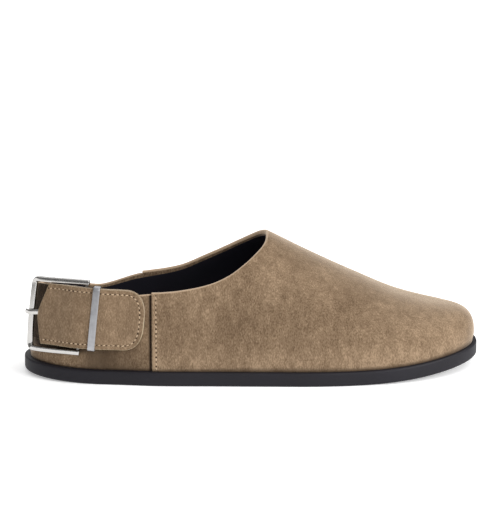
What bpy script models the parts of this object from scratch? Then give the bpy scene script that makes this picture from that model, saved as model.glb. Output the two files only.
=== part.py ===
"""Flat suede mule for the right foot, with a wide buckled strap round its heel.

All sizes are in millimetres, measured from the heel end of the sole: x runs to the toe, y to the inner
side of the foot and z up. The meshes are turned into metres when they are made.
"""

from collections import namedtuple
from math import acos, cos, hypot, pi, sin

import bmesh
import bpy
import numpy as np

MM = 0.001
GAP = 0.3
SHARP_ANGLE = 0.7
HALVINGS = 40
FINE_STATIONS = 801

# The sole, a flat slab of rubber with a little toe spring
SOLE_LENGTH = 260.0
SOLE_THICKNESS = 8.0
HEEL_ROUNDING = 50.0
HEEL_SQUARENESS = 2.15
TOE_ROUNDING = 66.0
TOE_SQUARENESS = 2.4
TOE_SPRING = 6.6
TOE_SPRING_START = 178.0
HEEL_LIFT = 2.0
HEEL_LIFT_END = 45.0

# The upper, one wall that is thicker in front of the side seams, where the vamp laps the counter
UPPER_INSET = 1.5
WALL = 2.2
SEAM_STEP = 1.0
SEAM = 71.3
INNER_SEAM = 68.0
THROAT = 138.6
THROAT_REACH = 13.0
THROAT_COLUMNS = 6
FEATHER_TUCK = 1.0
FEATHER_TUCK_SHARE = 0.3
COLUMNS_A_SIDE = 50
COLUMN_ROOM = 0.008
SEAM_LAP = 0.0006
ROWS = 12
ROW_SQUEEZE = 1.6

# The insole, a sheet that lies on the sole inside the upper
INSOLE_THICKNESS = 3.0
INSOLE_INSET = 7.2

# The strap and its buckle, measured along the strap from the middle of the heel, the outer side forward. The
# facing is sewn on the strap's buckled end, and its pointed end stands off the under layer.
STRAP_BASE = 1.4
STRAP_FACING = 1.5
STRAP_START = -66.0
STRAP_TIP = 79.6
STRAP_LEAN = 0.08
STRAP_STEP = 5.0
STRAP_REACH = 0.4
STRAP_STATIONS = 321
TIP_ROUNDING = 13.0
TIP_SQUARENESS = 2.8
TIP_STEPS = 7
TIP_FLAT = 0.02
FACING_START = 19.2
FACING_JOIN = 40.0
FACING_LIFT = 2.7
FACING_POINT_DEPTH = 4.6
FACING_POINT_FADE = 14.0
UNDER_LAYER_INSET = 1.4
SLOT_START = 24.0
SLOT_END = 37.5
SLOT_SHARE = 0.11
FRAME_LEFT = 12.1
FRAME_RIGHT = 44.5
FRAME_END = 1.3
ARM_WIDTH = 2.8
BAR_WIDTH = 3.2
BAR_TURN = 0.7
BAR_REACH = 1.75
FRAME_DEPTH = 2.7
FRAME_CORNER = 2.6
FRAME_LEFT_LEAN = -0.1
FRAME_RIGHT_LEAN = 0.04
FRAME_SIDE_CLEARANCE = 1.35
FRAME_DROP = 1.05
CORNER_STEPS = 4
ARM_STEPS = 7
BAR_STEPS = 6
PIN_DIAMETER = 1.8
PIN_HEIGHT = 2.1
PRONG_WIDTH = 2.8
PRONG_THICKNESS = 1.0
PRONG_OVERHANG = 1.4
PRONG_UNDER = 2.9
PRONG_BEND = 1.0
HOOK_START = 0.2
HOOK_END = 2.6
HOOK_STEPS = 7
KEEPER_PLACE = 52.2
KEEPER_WIDTH = 3.8
KEEPER_THICKNESS = 0.7
KEEPER_CORNER = 1.2
KEEPER_EASE = 0.25
KEEPER_CORNER_STEPS = 3
KEEPER_SIDE_STEPS = (4, 1)

# Edges of the sole and insole from the underside up: inset from the outline, and share of the thickness
Edge = namedtuple("Edge", "inset share")
SOLE_EDGE = (
    Edge(3.0, 0.0),
    Edge(1.2, 0.0),
    Edge(0.35, 0.05),
    Edge(0.0, 0.16),
    Edge(0.0, 0.86),
    Edge(0.25, 0.95),
    Edge(0.9, 1.0),
    Edge(3.0, 1.0),
)
INSOLE_EDGE = (
    Edge(0.6, 0.0),
    Edge(0.0, 0.25),
    Edge(0.0, 0.75),
    Edge(0.6, 1.0),
)

# Sections of the last: place of the middle line, half width of the sole, where the rays of the upper meet on
# the ridge, the ridge's shift to the inner side, its height, and how square the section is
Section = namedtuple("Section", "x middle half_width spine ridge_shift ridge roundness")
SECTIONS = (
    Section(0, 1.0, 32.5, 35, 0, 140, 1.42),
    Section(45, -0.8, 33.8, 52, 0, 140, 1.6),
    Section(75, -4.3, 35.5, 77, 0, 120, 1.8),
    Section(105, -5.4, 36.8, 105, 1, 98, 1.9),
    Section(137, -4.0, 40.8, 137, 2, 81.3, 2.0),
    Section(165, -1.8, 44.8, 164, 2, 66.3, 2.1),
    Section(190, 0.0, 45.5, 187, 1, 54.1, 2.15),
    Section(215, 1.3, 43.8, 205, 0, 42.8, 2.35),
    Section(240, 3.0, 40.4, 218, 0, 36.2, 2.9),
    Section(260, 5.0, 37.0, 224, 0, 34.7, 4.0),
)

# Height of the top edge on the outer and the inner side
Topline = namedtuple("Topline", "x lateral medial")
TOPLINE = (
    Topline(0, 50.0, 50.0),
    Topline(20, 49.0, 49.3),
    Topline(29, 49.0, 47.9),
    Topline(37, 49.0, 44.7),
    Topline(46, 49.2, 44.4),
    Topline(66, 51.4, 50.5),
    Topline(90, 54.2, 55.5),
    Topline(105, 57.4, 62.2),
    Topline(116, 62.1, 67.5),
    Topline(126, 68.8, 72.9),
    Topline(131, 72.6, 75.9),
    Topline(135, 75.7, 78.5),
    Topline(137.5, 78.3, 79.9),
    Topline(138.6, 80.4, 80.4),
)

# The strap's middle height, half width and clearance from the heel, along its length
Band = namedtuple("Band", "a middle half_width standoff")
BAND = (
    Band(-66, 24.0, 14.4, 0.35),
    Band(-40, 29.0, 15.9, 0.35),
    Band(-12, 35.0, 17.5, 0.35),
    Band(2, 36.7, 17.4, 0.35),
    Band(11, 37.9, 17.3, 0.35),
    Band(15.2, 38.2, 17.25, 0.35),
    Band(20, 38.5, 17.25, 0.4),
    Band(26, 38.8, 17.25, 0.7),
    Band(32, 38.9, 17.25, 2.1),
    Band(38, 38.9, 17.2, 4.0),
    Band(42, 38.8, 17.2, 4.6),
    Band(49, 38.6, 17.1, 4.7),
    Band(57, 38.0, 16.95, 3.6),
    Band(68, 37.4, 16.9, 1.6),
    Band(80, 36.7, 16.9, 0.5),
)

# The prong's way up from the strap's under layer to the top of the left bar, along the strap
Rise = namedtuple("Rise", "a share")
PRONG_RISE = (
    Rise(24.0, 0.0),
    Rise(19.8, 0.03),
    Rise(17.9, 0.2),
    Rise(16.2, 0.55),
    Rise(14.8, 0.88),
)

COLOURS = {
    "outsole": ((0.022, 0.020, 0.024), 0.6, 0.0),
    "insole": ((0.012, 0.013, 0.018), 0.7, 0.0),
    "upper": ((0.235, 0.155, 0.098), 0.95, 0.0),
    "heel_strap": ((0.220, 0.145, 0.090), 0.95, 0.0),
    "buckle_frame": ((0.78, 0.77, 0.75), 0.18, 1.0),
    "buckle_pin": ((0.78, 0.77, 0.75), 0.2, 1.0),
    "buckle_prong": ((0.78, 0.77, 0.75), 0.2, 1.0),
    "strap_keeper": ((0.70, 0.69, 0.67), 0.3, 1.0),
}


def along(table, column, place):
    """Smooth value of one column of a table at a place along its first column."""
    places = [row[0] for row in table]
    values = [getattr(row, column) for row in table]
    last = len(table) - 1
    place = min(max(place, places[0]), places[last])
    i = 0
    while i < last - 1 and place > places[i + 1]:
        i += 1
    slopes = []
    for k in (i, i + 1):
        before = max(k - 1, 0)
        after = min(k + 1, last)
        slopes.append((values[after] - values[before]) / (places[after] - places[before]))
    span = places[i + 1] - places[i]
    t = (place - places[i]) / span
    rise = values[i + 1] - values[i]
    bend_in = slopes[0] * span - rise
    bend_out = rise - slopes[1] * span
    return values[i] + t * rise + t * (1 - t) * ((1 - t) * bend_in + t * bend_out)


def end_round(distance, length, squareness):
    """Share of the full width at a distance from a rounded end."""
    if distance >= length:
        return 1.0
    return max(1.0 - (1.0 - distance / length) ** squareness, 0.0) ** (1.0 / squareness)


def outline(v):
    """Point of the sole's outline: v is 0 at the heel, 1 at the toe, above 0 on the outer side."""
    v = (v + 1.0) % 2.0 - 1.0
    x = SOLE_LENGTH * (1.0 - cos(pi * v)) / 2.0
    half = along(SECTIONS, "half_width", x)
    half *= end_round(x, HEEL_ROUNDING, HEEL_SQUARENESS)
    half *= end_round(SOLE_LENGTH - x, TOE_ROUNDING, TOE_SQUARENESS)
    side = -1.0 if v > 0 else 1.0
    return np.array((x, along(SECTIONS, "middle", x) + side * half))


def inset_outline(v, inset):
    """Point of the outline moved inwards along its normal."""
    step = 0.004
    tangent = outline(v + step) - outline(v - step)
    inward = np.array((tangent[1], -tangent[0])) / np.hypot(*tangent)
    return outline(v) - inset * inward


def sole_bottom(x):
    """Height of the sole's underside."""
    toe = max(x - TOE_SPRING_START, 0.0) / (SOLE_LENGTH - TOE_SPRING_START)
    heel = max(HEEL_LIFT_END - x, 0.0) / HEEL_LIFT_END
    return TOE_SPRING * toe ** 2 + HEEL_LIFT * heel ** 2


def sole_top(x):
    """Height of the sole's upper face."""
    return sole_bottom(x) + SOLE_THICKNESS


def insole_bottom(x):
    """Height of the insole's underside."""
    return sole_top(x) + GAP


def even_stations(count):
    """Values of v from heel to toe, evenly spaced along the outline."""
    fine = np.linspace(0.0, 1.0, FINE_STATIONS)
    points = np.array([(outline(v) + outline(-v)) / 2 for v in fine])
    halves = np.array([(outline(v) - outline(-v)) / 2 for v in fine])
    steps = np.hypot(np.hypot(*np.diff(points, axis=0).T), np.hypot(*np.diff(halves, axis=0).T))
    length = np.concatenate(([0.0], np.cumsum(steps)))
    return np.interp(np.linspace(0.0, length[-1], count + 1), length, fine)


def loop_stations(stations):
    """Values of v right round the shoe: outer side to the toe, inner side back to the heel."""
    return list(stations) + [-v for v in stations[-2:0:-1]]


def station_at(x):
    """Value of v on the outer side where the outline has this x."""
    return np.arccos(1.0 - 2.0 * x / SOLE_LENGTH) / pi


class LastSection:
    """One ray of the upper, from the feather edge at v up to the ridge."""

    def __init__(self, v):
        self.foot = inset_outline(v, UPPER_INSET)
        x = outline(v)[0]
        spine = along(SECTIONS, "spine", x)
        shift = along(SECTIONS, "ridge_shift", spine)
        self.head = np.array((spine, along(SECTIONS, "middle", spine) + shift))
        self.floor = sole_top(self.foot[0]) + GAP
        self.roundness = along(SECTIONS, "roundness", x)
        self.ridge = along(SECTIONS, "ridge", spine)

    def point(self, reach):
        """Point of the outer face at a share of the way from the ridge to the feather edge."""
        plan = self.head + (self.foot - self.head) * reach
        share = (1.0 - reach ** self.roundness) ** (1.0 / self.roundness)
        z = self.floor + (along(SECTIONS, "ridge", plan[0]) - self.floor) * share
        inward = (self.head - self.foot) / np.hypot(*(self.head - self.foot))
        plan = plan + inward * FEATHER_TUCK * max(1.0 - share / FEATHER_TUCK_SHARE, 0.0) ** 2
        return np.array((plan[0], plan[1], z))

    def reach_at(self, z):
        """Share of the way from the ridge at which the outer face has this height."""
        near, far = 0.0, 1.0
        for _ in range(HALVINGS):
            middle = (near + far) / 2
            if self.point(middle)[2] > z:
                near = middle
            else:
                far = middle
        return (near + far) / 2

    def at_height(self, z):
        """Point of the outer face at a height."""
        point = self.point(self.reach_at(z))
        point[2] = z
        return point

    def up_to(self, top, rows):
        """Points of the outer face from the feather edge to a height, squeezed under a low edge."""
        reach = self.reach_at(top) if top < self.ridge else 0.0
        turn = acos(reach ** (self.roundness / 2.0))
        squeeze = 1.0 + ROW_SQUEEZE * (turn / (pi / 2)) ** 2
        turns = [pi / 2 * k / rows - (pi / 2 - turn) * (k / rows) ** squeeze for k in range(rows + 1)]
        return [self.point(max(cos(t), 0.0) ** (2.0 / self.roundness)) for t in turns]


def mesh_object(name, points, faces, parent):
    """One named piece from points in millimetres, with its own material."""
    mesh = bpy.data.meshes.new(name)
    mesh.from_pydata([tuple(float(c) * MM for c in p) for p in points], [], faces)
    mesh.validate()
    turned = bmesh.new()
    turned.from_mesh(mesh)
    bmesh.ops.recalc_face_normals(turned, faces=turned.faces)
    turned.to_mesh(mesh)
    turned.free()
    mesh.shade_smooth()
    mesh.set_sharp_from_angle(angle=SHARP_ANGLE)
    colour, roughness, metallic = COLOURS[name]
    material = bpy.data.materials.new(name)
    material.use_nodes = True
    shader = material.node_tree.nodes["Principled BSDF"]
    shader.inputs["Base Color"].default_value = (*colour, 1.0)
    shader.inputs["Roughness"].default_value = roughness
    shader.inputs["Metallic"].default_value = metallic
    mesh.materials.append(material)
    piece = bpy.data.objects.new(name, mesh)
    piece.parent = parent
    bpy.context.collection.objects.link(piece)
    return piece


def slab(name, loops, sides, parent):
    """Closed slab through loops of equal length, capped by strips from the outer to the inner side."""
    count = len(loops[0])
    points = [p for loop in loops for p in loop]
    faces = []
    for layer in range(len(loops) - 1):
        for i in range(count):
            j = (i + 1) % count
            low, high = layer * count, (layer + 1) * count
            faces.append((low + i, low + j, high + j, high + i))
    top = (len(loops) - 1) * count
    for i in range(sides):
        a, b = i, i + 1
        c, d = (count - b) % count, (count - a) % count
        corners = [a, b, c, d]
        corners = [corner for k, corner in enumerate(corners) if corner not in corners[:k]]
        faces.append(tuple(reversed(corners)))
        faces.append(tuple(top + corner for corner in corners))
    return mesh_object(name, points, faces, parent)


def sheet_loops(edge, inset, base, thickness):
    """Loops of a sheet cut to the sole's outline, one for each row of its edge."""
    around = loop_stations(even_stations(COLUMNS_A_SIDE))
    loops = []
    for row in edge:
        plan = [inset_outline(v, inset + row.inset) for v in around]
        loops.append([(x, y, base(x) + row.share * thickness) for x, y in plan])
    return loops


def make_outsole(parent):
    """The rubber sole."""
    loops = sheet_loops(SOLE_EDGE, 0.0, sole_bottom, SOLE_THICKNESS)
    return slab("outsole", loops, COLUMNS_A_SIDE, parent)


def make_insole(parent):
    """The sheet under the foot."""
    loops = sheet_loops(INSOLE_EDGE, INSOLE_INSET, insole_bottom, INSOLE_THICKNESS)
    return slab("insole", loops, COLUMNS_A_SIDE, parent)


def upper_columns():
    """Stations of the upper: even ones, with close ones at the throat and a pair at each seam."""
    seams = [station_at(SEAM), station_at(INNER_SEAM)]
    steps = [(k / THROAT_COLUMNS) ** 2 for k in range(THROAT_COLUMNS + 1)]
    throat = [station_at(THROAT - THROAT_REACH * step) for step in steps]
    kept = []
    for v in even_stations(COLUMNS_A_SIDE):
        beside_seam = min(abs(v - seam) for seam in seams) > COLUMN_ROOM
        beside_throat = not throat[-1] - COLUMN_ROOM < v < throat[0] + COLUMN_ROOM
        if beside_seam and beside_throat:
            kept.append(v)
    pairs = [seam + lap for seam in seams for lap in (-SEAM_LAP, SEAM_LAP)]
    return sorted(kept + throat + pairs)


def make_upper(parent):
    """The upper: one wall from the sole to its top edge, closed over the toe and open at heel and throat."""
    stations = upper_columns()
    throat = stations.index(station_at(THROAT))
    last = len(stations) - 1
    around = loop_stations(stations)
    index = {}
    outer = []

    def key(i, row):
        """Columns in front of the throat share their ridge point with the other side."""
        column = i if i <= last else 2 * last - i
        if row == ROWS and column >= throat:
            return (column, row)
        return (i, row)

    recess = []
    for i, v in enumerate(around):
        section = LastSection(v)
        x = outline(v)[0]
        column = i if i <= last else 2 * last - i
        side = "lateral" if v >= 0 else "medial"
        seam = SEAM if v >= 0 else INNER_SEAM
        top = section.ridge if column >= throat else along(TOPLINE, side, x)
        for row, point in enumerate(section.up_to(top, ROWS)):
            if key(i, row) in index:
                continue
            index[key(i, row)] = len(outer)
            outer.append(point)
            recess.append(SEAM_STEP if x < seam else 0.0)
    count = len(around)

    def corner(i, row):
        """Number of a point of the outer face."""
        return index[key(i % count, row)]

    faces = []
    for i in range(count):
        for row in range(ROWS):
            face = (corner(i, row), corner(i + 1, row), corner(i + 1, row + 1), corner(i, row + 1))
            faces.append(tuple(dict.fromkeys(face)))
    outer = np.array(outer)
    normals = np.zeros_like(outer)
    for face in faces:
        a, b, c = outer[face[0]], outer[face[1]], outer[face[2]]
        normal = np.cross(b - a, c - a)
        if len(face) == 4:
            normal += np.cross(c - a, outer[face[3]] - a)
        for p in face:
            normals[p] += normal
    normals /= np.linalg.norm(normals, axis=1)[:, None]
    inner = outer - normals * (WALL + SEAM_STEP)
    outer = outer - normals * np.array(recess)[:, None]
    for i in range(count):
        foot = corner(i, 0)
        inner[foot][2] = outer[foot][2] = sole_top(outer[foot][0]) + GAP
    size = len(outer)
    walls = faces + [tuple(size + p for p in reversed(face)) for face in faces]
    for i in range(count):
        a, b = corner(i, 0), corner(i + 1, 0)
        walls.append((b, a, size + a, size + b))
        a, b = corner(i, ROWS), corner(i + 1, ROWS)
        column = min(i if i <= last else 2 * last - i, (i + 1) if i < last else 2 * last - i - 1)
        if column < throat:
            walls.append((a, b, size + b, size + a))
    return mesh_object("upper", list(outer) + list(inner), walls, parent)


class HeelWrap:
    """Places round the heel: a along the strap, b across it and d out from the counter."""

    def __init__(self):
        reference = along(BAND, "middle", 0.0)
        self.stations = np.linspace(-STRAP_REACH, STRAP_REACH, STRAP_STATIONS)
        points = np.array([LastSection(v).at_height(reference)[:2] for v in self.stations])
        steps = np.hypot(*np.diff(points, axis=0).T)
        self.places = np.concatenate(([0.0], np.cumsum(steps)))
        self.places -= np.interp(0.0, self.stations, self.places)
        tangents = np.gradient(points, self.places, axis=0)
        self.normals = np.stack((tangents[:, 1], -tangents[:, 0]), axis=1)

    def point(self, a, b, d):
        """Point at a place along, across and out from the counter."""
        s = a + b * sin(STRAP_LEAN)
        z = along(BAND, "middle", a) + b * cos(STRAP_LEAN)
        v = np.interp(s, self.places, self.stations)
        base = LastSection(v).at_height(z)
        out = np.array([np.interp(s, self.places, self.normals[:, k]) for k in range(2)])
        out /= np.hypot(*out)
        base[:2] += out * (d - SEAM_STEP)
        return base


def strap_half_width(a):
    """Half width of the strap's facing, down to nothing at its round tip."""
    half = along(BAND, "half_width", a)
    return half * end_round(STRAP_TIP - a, TIP_ROUNDING, TIP_SQUARENESS)


def strap_standoff(a):
    """Clearance of the strap from the counter."""
    return along(BAND, "standoff", a)


def facing_freedom(a):
    """How far the facing is free of the under layer: 1 at its pointed end, 0 where the two are sewn."""
    t = min(max((FACING_JOIN - a) / (FACING_JOIN - FACING_START), 0.0), 1.0)
    return t * t * (3 - 2 * t)


def steps_between(start, end, step):
    """Even places from a start up to, but without, an end."""
    count = max(round((end - start) / step), 1)
    return [start + (end - start) * k / count for k in range(count)]


def make_heel_strap(wrap, parent):
    """The strap: an under layer with a slot for the prong, joined to a facing with a free pointed end."""
    midway = (SLOT_SHARE + 1.0) / 2
    shares = (-1.0, -midway, -SLOT_SHARE, SLOT_SHARE, midway, 1.0)
    low, high = shares.index(-SLOT_SHARE), shares.index(SLOT_SHARE)
    points = []

    def row(a, height, inset=0.0, pointed=0.0):
        """Numbers of new points across the strap at a place along it."""
        half = strap_half_width(a) - inset
        for share in shares:
            place = a + pointed * max(abs(share) - SLOT_SHARE, 0.0)
            points.append(wrap.point(place, share * half, height))
        return list(range(len(points) - len(shares), len(points)))

    before = steps_between(STRAP_START, SLOT_START, STRAP_STEP)
    slot = steps_between(SLOT_START, SLOT_END, STRAP_STEP)
    band = before + slot + [SLOT_END, FACING_JOIN]
    free = steps_between(FACING_START, FACING_JOIN, STRAP_STEP)
    sewn = steps_between(FACING_JOIN, STRAP_TIP - TIP_ROUNDING, STRAP_STEP)
    tip = [STRAP_TIP - TIP_ROUNDING * (1.0 - sin(pi / 2 * k / TIP_STEPS)) for k in range(TIP_STEPS)]
    sewn += tip + [STRAP_TIP - TIP_FLAT]
    under, over = [], []
    for a in band + sewn[1:]:
        inset = UNDER_LAYER_INSET * facing_freedom(a)
        under.append(row(a, strap_standoff(a), inset))
        if a <= FACING_JOIN:
            over.append(row(a, strap_standoff(a) + STRAP_BASE, inset))
    back, face = [], []
    for a in free + sewn:
        height = strap_standoff(a) + STRAP_BASE + FACING_LIFT * facing_freedom(a)
        pointed = FACING_POINT_DEPTH * max(1.0 - (a - FACING_START) / FACING_POINT_FADE, 0.0)
        if a < FACING_JOIN:
            back.append(row(a, height, 0.0, pointed))
        face.append(row(a, height + STRAP_FACING, 0.0, pointed))
    back.append(over[-1])

    faces = []
    first, last = len(before), len(before) + len(slot)
    for sheet, slotted in ((under, True), (over, True), (back, False), (face, False)):
        for i in range(len(sheet) - 1):
            for k in range(len(shares) - 1):
                if not (slotted and first <= i < last and k == low):
                    faces.append((sheet[i][k], sheet[i + 1][k], sheet[i + 1][k + 1], sheet[i][k + 1]))
    for lower, upper in ((under[0], over[0]), (back[0], face[0]), (under[-1], face[-1])):
        for k in range(len(shares) - 1):
            faces.append((lower[k], lower[k + 1], upper[k + 1], upper[k]))
    for lower, upper in ((under[first], over[first]), (under[last], over[last])):
        faces.append((lower[low], lower[high], upper[high], upper[low]))
    for k in (low, high):
        for i in range(first, last):
            faces.append((under[i][k], under[i + 1][k], over[i + 1][k], over[i][k]))
    for k in (0, len(shares) - 1):
        for i in range(len(over) - 1):
            faces.append((under[i][k], under[i + 1][k], over[i + 1][k], over[i][k]))
        for i in range(len(free)):
            faces.append((back[i][k], back[i + 1][k], face[i + 1][k], face[i][k]))
        join = len(over) - 1
        for i in range(len(sewn) - 1):
            low_row, high_row = under[join + i:], face[len(free) + i:]
            side = [low_row[0][k], low_row[1][k], high_row[1][k], high_row[0][k]]
            faces.append(tuple(side + [over[join][k]] if i == 0 else side))
    return mesh_object("heel_strap", points, faces, parent)


def tube(name, rings, closed, parent):
    """Closed solid through rings of points; an open one has flat ends."""
    count = len(rings)
    sides = len(rings[0])
    points = [p for ring in rings for p in ring]
    faces = []
    for i in range(count if closed else count - 1):
        j = (i + 1) % count
        for k in range(sides):
            m = (k + 1) % sides
            faces.append((i * sides + k, i * sides + m, j * sides + m, j * sides + k))
    if not closed:
        faces.append(tuple(reversed(range(sides))))
        faces.append(tuple((count - 1) * sides + k for k in range(sides)))
    return mesh_object(name, points, faces, parent)


def rounded_loop(low, high, corner, arc_steps, side_steps):
    """Points round a rectangle with round corners, each with the direction that points out of it."""
    inner_low = (low[0] + corner, low[1] + corner)
    inner_high = (high[0] - corner, high[1] - corner)
    centres = (inner_low, (inner_high[0], inner_low[1]), inner_high, (inner_low[0], inner_high[1]))
    points = []
    for k, centre in enumerate(centres):
        following = centres[(k + 1) % 4]
        for step in range(arc_steps + 1):
            angle = pi + pi / 2 * (k + step / arc_steps)
            out = (cos(angle), sin(angle))
            points.append((centre[0] + corner * out[0], centre[1] + corner * out[1], *out))
        for step in range(1, side_steps[k % 2]):
            t = step / side_steps[k % 2]
            middle = [centre[axis] + t * (following[axis] - centre[axis]) for axis in range(2)]
            points.append((middle[0] + corner * out[0], middle[1] + corner * out[1], *out))
    return points


def octagon(half_width, half_height):
    """Corners of an eight-sided rod whose flats lie at these distances from its middle."""
    angles = [pi / 8 + pi / 4 * k for k in range(8)]
    return [(half_width * cos(t) / cos(pi / 8), half_height * sin(t) / cos(pi / 8)) for t in angles]


def frame_share(a):
    """Share of the way from the buckle's left bar to its pin."""
    return (a - FRAME_LEFT) / (FRAME_RIGHT - FRAME_LEFT)


def frame_middle(a):
    """Distance of the buckle's bars from the counter: over the strap at the left, level with the pin."""
    left = strap_standoff(FRAME_LEFT) + STRAP_BASE + GAP + BAR_REACH
    t = min(max(frame_share(a), 0.0), 1.0)
    return left + (PIN_HEIGHT - left) * t * t * (3 - 2 * t)


def frame_lean(a):
    """Lean of the buckle along the strap for each millimetre across it."""
    return FRAME_LEFT_LEAN + (FRAME_RIGHT_LEAN - FRAME_LEFT_LEAN) * frame_share(a)


def frame_half_width():
    """Distance from the buckle's middle to the middle of its arms."""
    return strap_half_width(FACING_START) + FRAME_SIDE_CLEARANCE + ARM_WIDTH / 2


def frame_path():
    """Middle line of the frame, from arm end to arm end round the left bar, with the direction out of it."""
    half = frame_half_width()
    bend = FRAME_LEFT + FRAME_CORNER
    arm = np.linspace(FRAME_RIGHT + FRAME_END, bend, ARM_STEPS + 1)[:-1]
    path = [(a, half, 0.0, 1.0) for a in arm]
    for middle, start in ((half - FRAME_CORNER, pi / 2), (FRAME_CORNER - half, pi)):
        for step in range(CORNER_STEPS + 1):
            turn = start + pi / 2 * step / CORNER_STEPS
            out = (cos(turn), sin(turn))
            path.append((bend + FRAME_CORNER * out[0], middle + FRAME_CORNER * out[1], *out))
        if middle > 0:
            bar = np.linspace(middle, -middle, BAR_STEPS + 1)[1:-1]
            path += [(FRAME_LEFT, b, -1.0, 0.0) for b in bar]
    path += [(a, -half, 0.0, -1.0) for a in arm[::-1]]
    return path


def make_buckle_frame(wrap, parent):
    """The buckle's frame, bent to three sides: two arms that hold the pin, and a left bar turned outwards."""
    rings = []
    for a, b, out_a, out_b in frame_path():
        leaning = a + b * frame_lean(a)
        width = ARM_WIDTH - (BAR_WIDTH - ARM_WIDTH) * out_a
        turn = -BAR_TURN * out_a
        ring = []
        for across, lift in octagon(width / 2, FRAME_DEPTH / 2):
            side = across * cos(turn) - lift * sin(turn)
            out = across * sin(turn) + lift * cos(turn)
            place = (leaning + out_a * side, b - FRAME_DROP + out_b * side)
            ring.append(wrap.point(*place, frame_middle(a) + out))
        rings.append(ring)
    return tube("buckle_frame", rings, False, parent)


def make_buckle_pin(wrap, parent):
    """The pin between the frame's arms, under the strap, that the prong turns on."""
    half = frame_half_width() - ARM_WIDTH / 2 - GAP
    rings = []
    for b in np.linspace(-half, half, BAR_STEPS + 1):
        leaning = FRAME_RIGHT + b * frame_lean(FRAME_RIGHT)
        ring = []
        for across, lift in octagon(PIN_DIAMETER / 2, PIN_DIAMETER / 2):
            ring.append(wrap.point(leaning + across, b - FRAME_DROP, PIN_HEIGHT + lift))
        rings.append(ring)
    return tube("buckle_pin", rings, False, parent)


def prong_path():
    """Middle line of the prong: a hook on the pin, through the strap's slot and over the left bar."""
    half = PRONG_THICKNESS / 2
    over = frame_middle(FRAME_LEFT) + BAR_REACH + GAP + half
    hook = PIN_DIAMETER / 2 + GAP + half
    path = []
    for turn in np.linspace(HOOK_START, HOOK_END, HOOK_STEPS):
        path.append((FRAME_RIGHT + hook * cos(turn), PIN_HEIGHT + hook * sin(turn)))
    path.append((SLOT_END, PRONG_UNDER))
    path += [(row.a, PRONG_UNDER + row.share * (over - PRONG_UNDER)) for row in PRONG_RISE]
    path.append((FRAME_LEFT + PRONG_BEND, over))
    path.append((FRAME_LEFT - BAR_WIDTH / 2 - PRONG_OVERHANG, over - GAP / 2))
    return path


def make_buckle_prong(wrap, parent):
    """The prong, a flat rod that lies over the left bar."""
    path = prong_path()
    rings = []
    for i, (a, d) in enumerate(path):
        before = path[max(i - 1, 0)]
        after = path[min(i + 1, len(path) - 1)]
        run, rise = after[0] - before[0], after[1] - before[1]
        length = hypot(run, rise)
        ring = []
        for across, lift in octagon(PRONG_WIDTH / 2, PRONG_THICKNESS / 2):
            ring.append(wrap.point(a + lift * rise / length, across, d - lift * run / length))
        rings.append(ring)
    return tube("buckle_prong", rings, False, parent)


def make_strap_keeper(wrap, parent):
    """The flat metal loop round the strap, beside the buckle."""
    room = GAP + KEEPER_EASE + KEEPER_THICKNESS / 2
    half = strap_half_width(KEEPER_PLACE) + GAP + KEEPER_THICKNESS / 2
    low = strap_standoff(KEEPER_PLACE) - room
    high = strap_standoff(KEEPER_PLACE) + STRAP_BASE + STRAP_FACING + room
    path = rounded_loop((-half, low), (half, high), KEEPER_CORNER, KEEPER_CORNER_STEPS, KEEPER_SIDE_STEPS)
    rings = []
    for b, d, out_b, out_d in path:
        ring = []
        for side, layer in ((-1, -1), (1, -1), (1, 1), (-1, 1)):
            a = KEEPER_PLACE + side * KEEPER_WIDTH / 2
            lift = layer * KEEPER_THICKNESS / 2
            ring.append(wrap.point(a, b + out_b * lift, d + out_d * lift))
        rings.append(ring)
    return tube("strap_keeper", rings, True, parent)


def main():
    for old in list(bpy.data.objects):
        bpy.data.objects.remove(old)
    sides = [outline(v)[1] for v in loop_stations(even_stations(COLUMNS_A_SIDE))]
    shoe = bpy.data.objects.new("mule", None)
    shoe.location = (-SOLE_LENGTH / 2 * MM, -(min(sides) + max(sides)) / 2 * MM, 0.0)
    bpy.context.collection.objects.link(shoe)
    wrap = HeelWrap()
    make_outsole(shoe)
    make_insole(shoe)
    make_upper(shoe)
    make_heel_strap(wrap, shoe)
    make_buckle_frame(wrap, shoe)
    make_buckle_pin(wrap, shoe)
    make_buckle_prong(wrap, shoe)
    make_strap_keeper(wrap, shoe)


if __name__ == "__main__":
    main()
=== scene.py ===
"""Looks of the flat suede mule: suede, lining, buckled heel strap, stitches, rubber sole and studio.

The last's tables are in millimetres, measured from the heel end of the sole: x runs to the toe, y to the
inner side of the foot and z up. Meshes are made in metres, in the frame's own place.
"""

from collections import namedtuple
from math import cos, pi, radians, sin

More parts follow.
